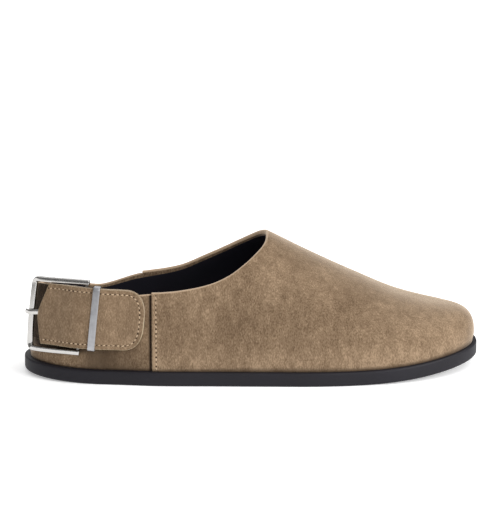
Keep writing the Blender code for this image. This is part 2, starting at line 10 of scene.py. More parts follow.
import bmesh
import bpy
import numpy as np
from bpy.props import FloatProperty, FloatVectorProperty, PointerProperty
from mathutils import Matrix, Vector


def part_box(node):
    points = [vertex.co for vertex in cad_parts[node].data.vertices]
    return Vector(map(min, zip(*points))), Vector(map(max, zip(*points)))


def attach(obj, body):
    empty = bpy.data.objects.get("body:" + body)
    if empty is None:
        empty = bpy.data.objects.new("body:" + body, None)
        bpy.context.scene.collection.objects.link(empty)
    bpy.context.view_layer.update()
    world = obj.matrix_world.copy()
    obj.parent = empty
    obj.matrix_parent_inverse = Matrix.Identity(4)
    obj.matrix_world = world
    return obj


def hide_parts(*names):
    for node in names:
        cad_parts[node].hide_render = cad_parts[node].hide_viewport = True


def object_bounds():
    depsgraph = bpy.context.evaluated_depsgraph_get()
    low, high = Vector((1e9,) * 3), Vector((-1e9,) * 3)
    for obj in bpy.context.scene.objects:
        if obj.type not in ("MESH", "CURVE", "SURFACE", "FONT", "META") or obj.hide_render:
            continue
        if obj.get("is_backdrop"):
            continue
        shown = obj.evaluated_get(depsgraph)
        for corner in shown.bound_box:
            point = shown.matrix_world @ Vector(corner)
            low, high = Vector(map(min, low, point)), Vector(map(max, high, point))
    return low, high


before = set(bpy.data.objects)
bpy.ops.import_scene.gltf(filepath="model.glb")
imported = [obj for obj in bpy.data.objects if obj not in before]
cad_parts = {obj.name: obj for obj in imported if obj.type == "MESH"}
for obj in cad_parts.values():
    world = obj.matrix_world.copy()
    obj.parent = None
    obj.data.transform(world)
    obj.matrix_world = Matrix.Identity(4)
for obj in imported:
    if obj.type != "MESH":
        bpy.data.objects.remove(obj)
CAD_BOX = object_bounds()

bl_info = {
    "name": "Suede mule",
    "version": (1, 0, 0),
    "blender": (4, 5, 0),
    "location": "View3D > Sidebar > Mule",
    "description": "Builds the looks of a flat suede mule with a buckled heel strap",
    "category": "Object",
}

MM = 0.001
BODY = "root"

# Form of the last and the sole, as the solids have it
SOLE_LENGTH = 260.0
SOLE_THICKNESS = 8.0
HEEL_ROUNDING = 50.0
HEEL_SQUARENESS = 2.15
TOE_ROUNDING = 66.0
TOE_SQUARENESS = 2.4
TOE_SPRING = 6.6
TOE_SPRING_START = 178.0
HEEL_LIFT = 2.0
HEEL_LIFT_END = 45.0
UPPER_INSET = 1.5
SEAM = 71.3
INNER_SEAM = 68.0
THROAT = 138.6
THROAT_REACH = 13.0
FEATHER_TUCK = 1.0
FEATHER_TUCK_SHARE = 0.3
INSOLE_GAP = 0.3
INSOLE_INSET = 7.2

# Form of the strap and its buckle, measured along the strap from the middle of the heel
STRAP_START = -66.0
STRAP_TIP = 79.6
STRAP_LEAN = 0.08
TIP_ROUNDING = 13.0
TIP_SQUARENESS = 2.8
TIP_FLAT = 0.02
FACING_START = 19.2
FACING_JOIN = 40.0
FACING_LIFT = 2.7
FACING_POINT_DEPTH = 4.6
FACING_POINT_FADE = 14.0
UNDER_LAYER_INSET = 1.4
SLOT_START = 24.0
SLOT_END = 37.5
SLOT_SHARE = 0.11
FRAME_LEFT = 12.1
FRAME_RIGHT = 44.5
FRAME_END = 1.3
FRAME_CORNER = 2.6
FRAME_LEFT_LEAN = -0.1
FRAME_RIGHT_LEAN = 0.04
FRAME_SIDE_CLEARANCE = 1.35
FRAME_DROP = 1.05
BAR_TURN = 0.7
BAR_REACH = 1.75
FRAME_GAP = 0.3
PIN_HEIGHT = 2.1
PRONG_OVERHANG = 1.4
PRONG_UNDER = 2.9
PRONG_BEND = 1.0
HOOK_START = 0.2
HOOK_END = 2.6
KEEPER_PLACE = 52.2
KEEPER_CORNER = 1.2
KEEPER_ROOM = 0.55

# Bar sections: 2 is round, and more is squarer. The prong's tip keeps a share of its width.
BAR_SQUARENESS = 4.2
ROUND = 2.0
PRONG_SQUARENESS = 2.6
PRONG_TIP_SHARE = 0.12

# Soft forms of the suede and lining: widths, fades and gaps
GROOVE_WIDTH = 1.3
SEAM_TROUGH_SHARE = 0.7
SEAM_TROUGH_WIDTH = 0.8
SEAM_RISE_FADE = 7.0
FACING_TROUGH_WIDTH = 0.75
SAG_PLACE = 24.0
SAG_WIDTH = 10.0
LAYER_GAP = 0.02
LINING_RIM = 0.15
LINING_DROP_SHARE = 0.85
LINING_LEAD = 0.9
EDGE_ROUND_SHARE = 0.3
# The pale raw edge is the strap's own colour; its low share along the upper edge, against the full tip and
# under edge, is painted light and shade
SHADED_UPPER_EDGE_CUT = 0.3

# Soft marks along the shoe or up it: the lining's wider rim, painted shade and painted light. A pair is
# where a mark starts and where it is full.
WIDE_RIM_FRONT = (125.0, 75.0)
WIDE_RIM_BACK = (45.0, 68.0)
# Painted shade on the counter under the strap's tip and behind the buckle, and on the band under the frame
TIP_SHADE_BACK = (28.0, 38.0)
TIP_SHADE_FRONT = (76.0, 46.0)
TIP_SHADE_TOP = (28.0, 22.0)
BUCKLE_SHADE_FOOT = (16.5, 18.5)
BAND_SHADE_FADE = 2.0
# Painted shade on the vamp's flanks, painted light low down and over the toe, and a painted highlight beside
# the seams
FLANK_FRONT = (215.0, 185.0)
FLANK_HEIGHT = 38.0
FLANK_SPREAD = 14.0
LOW_LIGHT_TOP = (24.0, 16.0)
TOE_LIGHT_BACK = (205.0, 230.0)
TOE_LIGHT_FOOT = (20.0, 34.0)
SEAM_HIGHLIGHT_PLACE = 1.8
SEAM_HIGHLIGHT_SPREAD = 2.5

# How strong the marks are: darkness of the painted shade, and steps of painted light and shade in the
# suede's tone
FEATHER_DARK = 0.75
SEAM_DARK = 1.8
TIP_DARK = 0.55
BUCKLE_DARK = 0.9
FLANK_TONE = -0.17
LOW_TONE = 0.16
TOE_TONE = 0.2
SEAM_TONE = 0.5

# Rows of stitches: their ends, and how uneven the stitches are
STITCH_CLEAR = 2.0
BAND_END_LENGTH = 14.0
SEAM_STITCH_TOP = 2.2
SEAM_STITCH_FOOT = 1.6
UNEVEN = (0.75, 1.15)
UNEVEN_SEED = 4
STRAY = (-0.3, 0.3)
STRAY_SEED = 7
THREAD_FLATNESS = 0.85
HOLE_FLATNESS = 0.22

# How finely the pieces are divided
NEAR = 1e-6
TANGENT_STEP = 0.004
NORMAL_STEP = 0.002
HALVINGS = 40
FINE_STATIONS = 1601
OUTLINE_SAMPLES = 4001
OUTLINE_STEPS = 170
UPPER_ROWS = 44
ROW_SQUEEZE = 1.6
RIM_STEPS = 7
RIM_FADE_ROWS = 10
THROAT_STEPS = 16
THROAT_CLEAR = 1.2
COUNTER_CLEAR = 1.0
STRAP_REACH = 0.4
STRAP_STATIONS = 321
TIP_STEPS = 18
BAND_STEP = 1.5
BAND_SHARES = 11
SLOT_STEPS = 10
FACING_STEP = 0.55
FACING_SHARES = 71
FACING_EDGE_STEP = 0.4
ARM_STEPS = 30
CORNER_STEPS = 12
BAR_CORNERS = 32
ROD_CORNERS = 16
PIN_STEPS = 16
HOOK_STEPS = 7
PRONG_STEPS = 90
PRONG_TIP_STEP = 60
KEEPER_CORNER_STEPS = 6
KEEPER_SIDE_STEPS = (24, 3)
KEEPER_BEVEL_STEPS = 3
KEEPER_EDGE_STEPS = (3, 1)
STITCH_STEP = 0.5
BAND_END_STEPS = (20, 24)
SEAM_STITCH_STEPS = 60
BEAD_SEGMENTS = 10
BEAD_RINGS = 6
SHARP_ANGLE = 0.7
KEEPER_SHARP_ANGLE = 0.5

# Distances from a side seam of the columns that stand close to it
VAMP_SEAM_COLUMNS = (0.0, 0.12, 0.3, 0.55, 0.9, 1.5, 2.1, 2.6, 3.1, 3.7)
COUNTER_SEAM_COLUMNS = (2.8, 1.9, 1.2, 0.7, 0.3, 0.04)

# Ends of the buckle's arms: place as a share of the bevel, and share of the full section
ArmEnd = namedtuple("ArmEnd", "share slim")
ARM_END = (ArmEnd(0.0, 0.8), ArmEnd(0.3, 0.93), ArmEnd(1.0, 1.0))

# Finishes: sizes of grain and patches in metres, roughness and its spread, strength and depth of the relief
Finish = namedtuple("Finish", "grain patch rough spread relief depth")
RUBBER = Finish(0.0007, 0.03, 0.56, 0.06, 0.25, 0.0002)
INSOLE_LEATHER = Finish(0.0009, 0.02, 0.6, 0.06, 0.35, 0.0002)
LINING_CLOTH = Finish(0.0006, 0.02, 0.8, 0.06, 0.4, 0.0002)
THREAD = Finish(0.0003, 0.0015, 0.75, 0.06, 0.3, 0.0002)
NEEDLE_HOLE = Finish(0.0003, 0.0015, 0.9, 0.06, 0.3, 0.0002)
POLISHED = Finish(0.0012, 0.004, 0.16, 0.03, 0.02, 0.0001)
DULL = Finish(0.0006, 0.004, 0.42, 0.05, 0.08, 0.0001)
SATIN = Finish(0.0004, 0.004, 0.34, 0.08, 0.1, 0.0001)
MATT_TONES = (0.8, 1.2)
METAL_TONE_DROP = 3.0
GRAIN_DETAIL = 3.0
UPPER_NAP = {
    "Cloud Size": 0.024, "Cloud Contrast": 0.9, "Mottle Size": 0.004, "Mottle Contrast": 1.0,
    "Pile Size": 0.0006, "Pile Contrast": 2.1,
}
STRAP_NAP = {
    "Cloud Size": 0.018, "Cloud Contrast": 0.3, "Mottle Size": 0.003, "Mottle Contrast": 0.8,
    "Pile Size": 0.0006, "Pile Contrast": 1.7,
}
NAP_DETAIL = {"Cloud": 2.5, "Mottle": 3.0, "Pile": 2.0}
NAP_ROUGHNESS = 0.6
NAP_STRETCH = (1.0, 1.0, 0.45)
NAP_RELIEF = 0.45
NAP_DEPTH = 0.0004
RAGGED = 1.6
WHITE = (1.0, 1.0, 1.0, 1.0)

# The studio in metres: soft lights with their size and place, reach of the floor, near limit of the camera
Softbox = namedtuple("Softbox", "name width height place")
SOFTBOXES = (
    Softbox("fill", 0.9, 0.5, (1.0, -0.9, 0.5)),
    Softbox("front", 1.6, 1.0, (-0.2, -2.2, 1.1)),
    Softbox("rim", 2.0, 0.8, (-0.5, 1.5, 0.9)),
)
FLOOR_REACH = 6.0
CLIP_START = 0.05

# Sections of the last: place of the middle line, half width of the sole, where the rays of the upper meet on
# the ridge, the ridge's shift to the inner side, its height, and how square the section is
Section = namedtuple("Section", "x middle half_width spine ridge_shift ridge roundness")
SECTIONS = (
    Section(0, 1.0, 32.5, 35, 0, 140, 1.42),
    Section(45, -0.8, 33.8, 52, 0, 140, 1.6),
    Section(75, -4.3, 35.5, 77, 0, 120, 1.8),
    Section(105, -5.4, 36.8, 105, 1, 98, 1.9),
    Section(137, -4.0, 40.8, 137, 2, 81.3, 2.0),
    Section(165, -1.8, 44.8, 164, 2, 66.3, 2.1),
    Section(190, 0.0, 45.5, 187, 1, 54.1, 2.15),
    Section(215, 1.3, 43.8, 205, 0, 42.8, 2.35),
    Section(240, 3.0, 40.4, 218, 0, 36.2, 2.9),
    Section(260, 5.0, 37.0, 224, 0, 34.7, 4.0),
)

# Height of the top edge on the outer and the inner side
Topline = namedtuple("Topline", "x lateral medial")
TOPLINE = (
    Topline(0, 50.0, 50.0),
    Topline(20, 49.0, 49.3),
    Topline(29, 49.0, 47.9),
    Topline(37, 49.0, 44.7),
    Topline(46, 49.2, 44.4),
    Topline(66, 51.4, 50.5),
    Topline(90, 54.2, 55.5),
    Topline(105, 57.4, 62.2),
    Topline(116, 62.1, 67.5),
    Topline(126, 68.8, 72.9),
    Topline(131, 72.6, 75.9),
    Topline(135, 75.7, 78.5),
    Topline(137.5, 78.3, 79.9),
    Topline(138.6, 80.4, 80.4),
)

# The strap's middle height, half width and clearance from the heel, along its length
Band = namedtuple("Band", "a middle half_width standoff")
BAND = (
    Band(-66, 24.0, 14.4, 0.35),
    Band(-40, 29.0, 15.9, 0.35),
    Band(-12, 35.0, 17.5, 0.35),
    Band(2, 36.7, 17.4, 0.35),
    Band(11, 37.9, 17.3, 0.35),
    Band(15.2, 38.2, 17.25, 0.35),
    Band(20, 38.5, 17.25, 0.4),
    Band(26, 38.8, 17.25, 0.7),
    Band(32, 38.9, 17.25, 2.1),
    Band(38, 38.9, 17.2, 4.0),
    Band(42, 38.8, 17.2, 4.6),
    Band(49, 38.6, 17.1, 4.7),
    Band(57, 38.0, 16.95, 3.6),
    Band(68, 37.4, 16.9, 1.6),
    Band(80, 36.7, 16.9, 0.5),
)

# The prong's way up from the strap's under layer to the top of the left bar, along the strap
Rise = namedtuple("Rise", "a share")
PRONG_RISE = (
    Rise(24.0, 0.0),
    Rise(19.8, 0.03),
    Rise(17.9, 0.2),
    Rise(16.2, 0.55),
    Rise(14.8, 0.88),
)

# Edge of the sole from the underside up: inset from the outline, and share of the thickness
Edge = namedtuple("Edge", "inset share")
SOLE_EDGE = (
    Edge(3.0, 0.0),
    Edge(1.2, 0.0),
    Edge(0.6, 0.02),
    Edge(0.25, 0.07),
    Edge(0.05, 0.13),
    Edge(0.0, 0.2),
    Edge(0.0, 0.82),
    Edge(0.06, 0.9),
    Edge(0.3, 0.965),
    Edge(0.7, 1.0),
    Edge(3.0, 1.0),
)
INSOLE_EDGE = (
    Edge(0.6, 0.0),
    Edge(0.0, 0.25),
    Edge(0.0, 0.75),
    Edge(0.15, 0.9),
    Edge(0.6, 1.0),
)


def length(name, description, size):
    """A size that the user can change, given in millimetres."""
    return FloatProperty(
        name=name, description=description, default=size * MM, min=0.0, unit="LENGTH", precision=5
    )


def colour(name, description, red, green, blue):
    """A colour that the user can change, given as 8-bit screen values."""
    shares = [value / 255.0 for value in (red, green, blue)]
    linear = [s / 12.92 if s <= 0.04045 else ((s + 0.055) / 1.055) ** 2.4 for s in shares]
    return FloatVectorProperty(
        name=name, description=description, default=linear, size=3, min=0.0, max=1.0, subtype="COLOR"
    )


def strength(name, description, value):
    """A light's strength that the user can change."""
    return FloatProperty(name=name, description=description, default=value, min=0.0)


def power(name, description, watts):
    """A lamp's power that the user can change."""
    return FloatProperty(name=name, description=description, default=watts, min=0.0, unit="POWER")


def angle(name, description, degrees):
    """An angle that the user can change."""
    return FloatProperty(name=name, description=description, default=radians(degrees), subtype="ANGLE")


class MuleSizes(bpy.types.PropertyGroup):
    """Sizes of the finished pieces."""

    seam_step: length("Seam step", "Depth of the counter under the face of the vamp", 1.0)
    suede_depth: length("Suede depth", "Depth of the back of the suede under the face of the vamp", 2.85)
    lining_depth: length("Lining depth", "Depth of the lining's inner face under the face of the vamp", 3.2)
    rim_rounding: length("Rim rounding", "Rounding of the suede along the top edge", 0.9)
    rim_depth: length("Rim depth", "Width of suede turned in over the top edge", 2.4)
    inner_rim: length("Inner rim", "Extra width of that suede on the inner side, beside the seam", 0.8)
    rim_sag: length("Rim sag", "How far the inner side's top edge sags behind the buckle", 1.0)
    seam_edge: length("Seam edge", "Rounding of the vamp's edge at the side seams", 0.45)
    seam_groove: length("Seam groove", "Extra depth of the counter right beside the vamp's edge", 1.2)
    seam_rise: length("Seam rise", "How far the vamp's top corner stands above the counter's edge", 0.8)
    insole_thickness: length("Insole thickness", "Thickness of the insole", 3.0)
    band_thickness: length("Band thickness", "Thickness of the strap's under layer", 1.4)
    facing_thickness: length("Facing thickness", "Thickness of the strap's sewn facing", 1.5)
    strap_rounding: length("Strap rounding", "Rounding of the strap's cut edges", 0.35)
    stitch_pitch: length("Stitch pitch", "Distance from one stitch to the next", 2.65)
    stitch_length: length("Stitch length", "Length of thread that shows of a stitch", 1.45)
    thread_width: length("Thread width", "Thickness of the sewing thread", 0.66)
    stitch_slant: angle("Stitch slant", "Turn of the stitches against their row", 14.0)
    hole_width: length("Hole width", "Width of a needle hole", 1.0)
    stitch_inset: length("Stitch inset", "Distance of the stitches from the edge", 2.5)
    stitch_trough: length("Stitch trough", "How far the stitches pull the suede in", 0.22)
    bar_width: length("Bar width", "Width of the buckle's left bar", 3.2)
    arm_width: length("Arm width", "Width of the buckle's arms along the strap's edges", 2.8)
    bar_depth: length("Bar depth", "Depth of the buckle's bars out from the strap", 2.7)
    bar_bevel: length("Bar bevel", "Rounding at the ends of the buckle's arms", 0.3)
    pin: length("Pin", "Thickness of the pin that the prong hooks on", 1.8)
    prong_width: length("Prong width", "Width of the prong", 2.8)
    prong_thickness: length("Prong thickness", "Thickness of the prong", 1.0)
    keeper_width: length("Keeper width", "Width of the metal keeper", 3.8)
    keeper_thickness: length("Keeper thickness", "Thickness of the metal keeper", 0.7)
    keeper_bevel: length("Keeper bevel", "Bevel along the keeper's edges", 0.35)


class MuleColours(bpy.types.PropertyGroup):
    """Colours of the finished pieces."""

    suede: colour("Suede", "Suede at rest", 119, 99, 78)
    # The brushed-up and brushed-down tones also carry the painted light and painted shade on the vamp
    suede_light: colour("Suede brushed up", "Suede where its nap is brushed up", 149, 127, 103)
    suede_dark: colour("Suede brushed down", "Suede where its nap is brushed down", 93, 75, 57)
    suede_sheen: colour("Suede sheen", "Light on the tips of the nap", 255, 236, 214)
    # Pale raw edge, the strap's own colour, laid on fully at the tip and under edge and weakly on the upper
    # edge as painted light and shade
    cut_edge: colour("Cut edge", "Raw edge of the strap", 150, 136, 108)
    # Painted highlight: pale lit fibres along the rounded top edge
    fuzz: colour("Fuzz", "Loose fibres along the top edge", 178, 154, 129)
    # Painted shade: colour for seams, the feather edge and places under other pieces, where shade falls
    crease: colour("Crease", "Suede deep in a seam or under another piece", 30, 20, 14)
    thread: colour("Thread", "Sewing thread", 188, 166, 138)
    # Painted shade: a dark bead stands for the shade inside each needle hole
    needle_hole: colour("Needle hole", "Inside of a needle hole", 50, 35, 26)
    lining: colour("Lining", "Cloth inside the upper", 16, 14, 24)
    insole: colour("Insole", "Sheet under the foot", 16, 15, 20)
    rubber: colour("Rubber", "Rubber of the sole", 21, 19, 26)
    nickel: colour("Nickel", "Polished buckle", 194, 192, 189)
    # Painted shade: the pin is coloured darker for the shade it sits in under the strap
    pin: colour("Pin", "Dull pin under the strap", 120, 116, 112)
    satin: colour("Satin metal", "Satin keeper", 172, 172, 175)
    floor: colour("Floor", "Pale studio floor", 250, 250, 250)


class MuleStage(bpy.types.PropertyGroup):
    """Camera and light."""

    elevation: angle("Elevation", "Camera's angle above the floor", 14.0)
    yaw: angle("Yaw", "Camera's turn towards the heel", -3.5)
    distance: length("Distance", "Camera's distance from the shoe", 1600.0)
    target_height: length("Target height", "Height on the shoe that the camera is turned about", 35.0)
    aim_rise: length("Aim rise", "How far above that height the camera looks", 24.65)
    aim_side: FloatProperty(
        name="Aim side",
        description="How far beside the shoe's middle the camera looks",
        default=-0.0011,
        unit="LENGTH",
        precision=5,
    )
    lens: FloatProperty(name="Lens", description="Focal length for a 36 mm picture side", default=190.4)
    key_strength: strength("Key light", "Strength of the soft light overhead", 1.6)
    key_tilt: angle("Key tilt", "Lean of the soft light towards the toe", 32.0)
    key_front: angle("Key front", "Lean of the soft light towards the camera", 8.0)
    key_spread: angle("Key spread", "Softness of the light overhead", 75.0)
    fill_power: power("Fill light", "Power of the soft light in front of the toe", 13.0)
    front_power: power("Front light", "Power of the soft light over the camera", 8.0)
    rim_power: power("Rim light", "Power of the soft light behind the shoe", 8.0)
    floor_glow: strength("Floor glow", "Strength of the light from the floor", 0.36)
    sky_light: strength("Sky", "Strength of the light from straight above", 0.5)
    horizon_light: strength("Horizon", "Strength of the light from the sides", 0.15)


def millimetres(size):
    """A size property in the last's own unit."""
    return size / MM


def unit(vectors):
    """Directions of vectors, each made one long."""
    return vectors / np.linalg.norm(vectors, axis=-1)[..., None]


def fade(value, none, full):
    """Share from 0 at one value to 1 at another, held beyond both."""
    return np.clip((value - none) / (full - none), 0.0, 1.0)


def smooth(share):
    """A share from 0 to 1 that starts and ends gently."""
    return share * share * (3.0 - 2.0 * share)


def bell(x, place, width):
    """A soft bump of height 1 at a place."""
    return np.exp(-((x - place) / width) ** 2)


def run_length(points):
    """Distance along a line at each of its points."""
    return np.concatenate(([0.0], np.cumsum(np.hypot(*np.diff(points, axis=0).T))))


def blend(places, values, slopes, place):
    """Smooth values at places between others whose values and slopes are known."""
    i = np.clip(np.searchsorted(places, place) - 1, 0, len(places) - 2)
    span = places[i + 1] - places[i]
    t = (place - places[i]) / span
    rise = values[i + 1] - values[i]
    bend_in = slopes[i] * span - rise
    bend_out = rise - slopes[i + 1] * span
    return values[i] + t * rise + t * (1 - t) * ((1 - t) * bend_in + t * bend_out)


def along(table, column, place):
    """Smooth values of one column of a table at places along its first column."""
    places = np.array([row[0] for row in table], float)
    values = np.array([getattr(row, column) for row in table], float)
    rows = np.arange(len(table))
    before = np.maximum(rows - 1, 0)
    after = np.minimum(rows + 1, len(table) - 1)
    slopes = (values[after] - values[before]) / (places[after] - places[before])
    return blend(places, values, slopes, np.clip(place, places[0], places[-1]))


def end_round(distance, reach, squareness):
    """Share of the full width at a distance from a rounded end."""
    inside = np.clip(1.0 - np.asarray(distance, float) / reach, 0.0, 1.0)
    return (1.0 - inside ** squareness) ** (1.0 / squareness)


def outline(v):
    """Points of the sole's outline: v is 0 at the heel, 1 at the toe, above 0 on the outer side."""
    v = (np.asarray(v, float) + 1.0) % 2.0 - 1.0
    x = SOLE_LENGTH * (1.0 - np.cos(pi * v)) / 2.0
    half = along(SECTIONS, "half_width", x)
    half = half * end_round(x, HEEL_ROUNDING, HEEL_SQUARENESS)
    half = half * end_round(SOLE_LENGTH - x, TOE_ROUNDING, TOE_SQUARENESS)
    side = np.where(v > 0, -1.0, 1.0)
    return np.stack((x, along(SECTIONS, "middle", x) + side * half), -1)


def inset_outline(v, inset):
    """Points of the outline moved inwards along its normal."""
    tangent = outline(v + TANGENT_STEP) - outline(v - TANGENT_STEP)
    out = np.stack((tangent[..., 1], -tangent[..., 0]), -1)
    return outline(v) - inset * unit(out)


def sole_bottom(x):
    """Height of the sole's underside."""
    toe = np.maximum(x - TOE_SPRING_START, 0.0) / (SOLE_LENGTH - TOE_SPRING_START)
    heel = np.maximum(HEEL_LIFT_END - x, 0.0) / HEEL_LIFT_END
    return TOE_SPRING * toe ** 2 + HEEL_LIFT * heel ** 2


def sole_top(x):
    """Height of the sole's upper face."""
    return sole_bottom(x) + SOLE_THICKNESS


def insole_bottom(x):
    """Height of the insole's underside."""
    return sole_top(x) + INSOLE_GAP


def even_stations(count):
    """Values of v from heel to toe, evenly spaced along the outline."""
    fine = np.linspace(0.0, 1.0, FINE_STATIONS)
    middle = (outline(fine) + outline(-fine)) / 2
    half = (outline(fine) - outline(-fine)) / 2
    steps = np.hypot(np.hypot(*np.diff(middle, axis=0).T), np.hypot(*np.diff(half, axis=0).T))
    run = np.concatenate(([0.0], np.cumsum(steps)))
    return np.interp(np.linspace(0.0, run[-1], count + 1), run, fine)


def station_at(x):
    """Value of v on the outer side where the outline has this x."""
    return np.arccos(1.0 - 2.0 * np.asarray(x, float) / SOLE_LENGTH) / pi


class Last:
    """Rays of the last's outer face, from the feather edge at each v up to the ridge."""

    def __init__(self, v):
        v = np.asarray(v, float)
        self.foot = inset_outline(v, UPPER_INSET)
        x = outline(v)[:, 0]
        spine = along(SECTIONS, "spine", x)
        shift = along(SECTIONS, "ridge_shift", spine)
        self.head = np.stack((spine, along(SECTIONS, "middle", spine) + shift), -1)
        self.floor = sole_top(self.foot[:, 0]) + INSOLE_GAP
        self.roundness = along(SECTIONS, "roundness", x)
        self.ridge = along(SECTIONS, "ridge", spine)

    def point(self, reach):
        """Points at a share of the way from the ridge to the feather edge."""
        plan = self.head + (self.foot - self.head) * reach[:, None]
        share = (1.0 - reach ** self.roundness) ** (1.0 / self.roundness)
        z = self.floor + (along(SECTIONS, "ridge", plan[:, 0]) - self.floor) * share
        inward = unit(self.head - self.foot)
        tuck = FEATHER_TUCK * np.maximum(1.0 - share / FEATHER_TUCK_SHARE, 0.0) ** 2
        return np.column_stack((plan + inward * tuck[:, None], z))

    def reach_at(self, z):
        """Share of the way from the ridge at which the face has a height."""
        near = np.zeros(len(self.foot))
        far = np.ones(len(self.foot))
        for _ in range(HALVINGS):
            middle = (near + far) / 2
            above = self.point(middle)[:, 2] > z
            near = np.where(above, middle, near)
            far = np.where(above, far, middle)
        return (near + far) / 2

    def at_height(self, z):
        """Points at a height."""
        point = self.point(self.reach_at(z))
        point[:, 2] = z
        return point

    def up_to(self, top, rows):
        """Rows of points from the feather edge up to a height."""
        reach = np.where(top < self.ridge, self.reach_at(top), 0.0)
        turn = np.arccos(reach ** (self.roundness / 2.0))
        squeeze = 1.0 + ROW_SQUEEZE * (turn / (pi / 2)) ** 2
        made = []
        for k in range(rows + 1):
            rise = pi / 2 * k / rows - (pi / 2 - turn) * (k / rows) ** squeeze
            made.append(self.point(np.maximum(np.cos(rise), 0.0) ** (2.0 / self.roundness)))
        return np.stack(made, 1)


class HeelWrap:
    """Places round the heel: a along the strap, b across it and d out from the counter."""

    def __init__(self, seam_step):
        self.seam_step = seam_step
        self.stations = np.linspace(-STRAP_REACH, STRAP_REACH, STRAP_STATIONS)
        height = np.full(len(self.stations), float(along(BAND, "middle", 0.0)))
        points = Last(self.stations).at_height(height)[:, :2]
        self.places = run_length(points)
        self.places -= np.interp(0.0, self.stations, self.places)
        tangents = np.gradient(points, self.places, axis=0)
        self.normals = np.stack((tangents[:, 1], -tangents[:, 0]), axis=1)

    def point(self, a, b, d):
        """Points at places along, across and out."""
        a, b, d = np.broadcast_arrays(np.asarray(a, float), b, d)
        s = (a + b * sin(STRAP_LEAN)).ravel()
        z = (along(BAND, "middle", a) + b * cos(STRAP_LEAN)).ravel()
        base = Last(np.interp(s, self.places, self.stations)).at_height(z)
        out = np.stack([np.interp(s, self.places, self.normals[:, k]) for k in range(2)], -1)
        base[:, :2] += unit(out) * (d.ravel() - self.seam_step)[:, None]
        return base.reshape(*a.shape, 3)


def row_frame(points):
    """Points of the last in metres, in the frame's place."""
    sides = outline(np.linspace(-1.0, 1.0, OUTLINE_SAMPLES))[:, 1]
    heel_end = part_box("outsole")[0].x
    shift = np.array((heel_end, -(sides.min() + sides.max()) / 2 * MM, 0.0))
    return np.asarray(points, float) * MM + shift


def add_object(name, data):
    """A new object in the scene."""
    made = bpy.data.objects.new(name, data)
    bpy.context.scene.collection.objects.link(made)
    return made


def make_piece(name, points, faces, material, sharp=SHARP_ANGLE, values=None):
    """A closed mesh from the last's points, with its faces turned out."""
    used = np.unique(np.concatenate([np.asarray(f, int) for f in faces]))
    renumber = np.full(len(points), -1)
    renumber[used] = np.arange(len(used))
    corners = [tuple(dict.fromkeys(renumber[list(f)].tolist())) for f in faces]
    corners = [f for f in corners if len(f) > 2]
    mesh = bpy.data.meshes.new(name)
    mesh.from_pydata(row_frame(np.asarray(points)[used]).tolist(), [], corners)
    if mesh.validate():
        raise RuntimeError(f"{name} has faces that can't be used")
    for key, column in (values or {}).items():
        layer = mesh.attributes.new(key, "FLOAT", "POINT")
        layer.data.foreach_set("value", np.asarray(column, np.float32)[used])
    turned = bmesh.new()
    turned.from_mesh(mesh)
    bmesh.ops.recalc_face_normals(turned, faces=turned.faces)
    if any(not edge.is_manifold for edge in turned.edges):
        raise RuntimeError(f"{name} isn't closed")
    turned.to_mesh(mesh)
    turned.free()
    mesh.shade_smooth()
    mesh.set_sharp_from_angle(angle=sharp)
    mesh.materials.append(material)
    return add_object(name, mesh)


def settle(piece, slot, *nodes):
    """The piece rides on the shoe and stands for its solids, which are hidden."""
    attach(piece, BODY)
    if nodes:
        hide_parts(*nodes)


def strip_faces(numbers, closed_columns, closed_rows=False):
    """Quads of a grid of point numbers."""
    if closed_columns:
        numbers = np.concatenate((numbers, numbers[:1]))
    if closed_rows:
        numbers = np.concatenate((numbers, numbers[:, :1]), 1)
    corners = (numbers[:-1, :-1], numbers[1:, :-1], numbers[1:, 1:], numbers[:-1, 1:])
    return np.stack(corners, -1).reshape(-1, 4)


def sheet_piece(name, edge, inset, base, thickness, material):
    """A sheet cut to the sole's outline, one loop of points for each row of its edge."""
    stations = even_stations(OUTLINE_STEPS)
    around = np.concatenate((stations, -stations[-2:0:-1]))
    loops = []
    for row in edge:
        plan = inset_outline(around, inset + row.inset)
        loops.append(np.column_stack((plan, base(plan[:, 0]) + row.share * thickness)))
    count = len(around)
    numbers = np.arange(count * len(edge)).reshape(len(edge), count)
    faces = [*strip_faces(numbers.T, True)]
    for i in range(OUTLINE_STEPS):
        corners = [i, i + 1, (count - i - 1) % count, (count - i) % count]
        faces += [numbers[0][corners], numbers[-1][corners]]
    return make_piece(name, np.concatenate(loops), faces, material)


def face_normals(points, quads):
    """Directions out of a surface at its points."""
    normals = np.zeros_like(points)
    a, b, c, d = (points[quads[:, k]] for k in range(4))
    for k in range(4):
        np.add.at(normals, quads[:, k], np.cross(c - a, d - b))
    sizes = np.linalg.norm(normals, axis=1)
    return normals / np.where(sizes > 0, sizes, 1.0)[:, None]


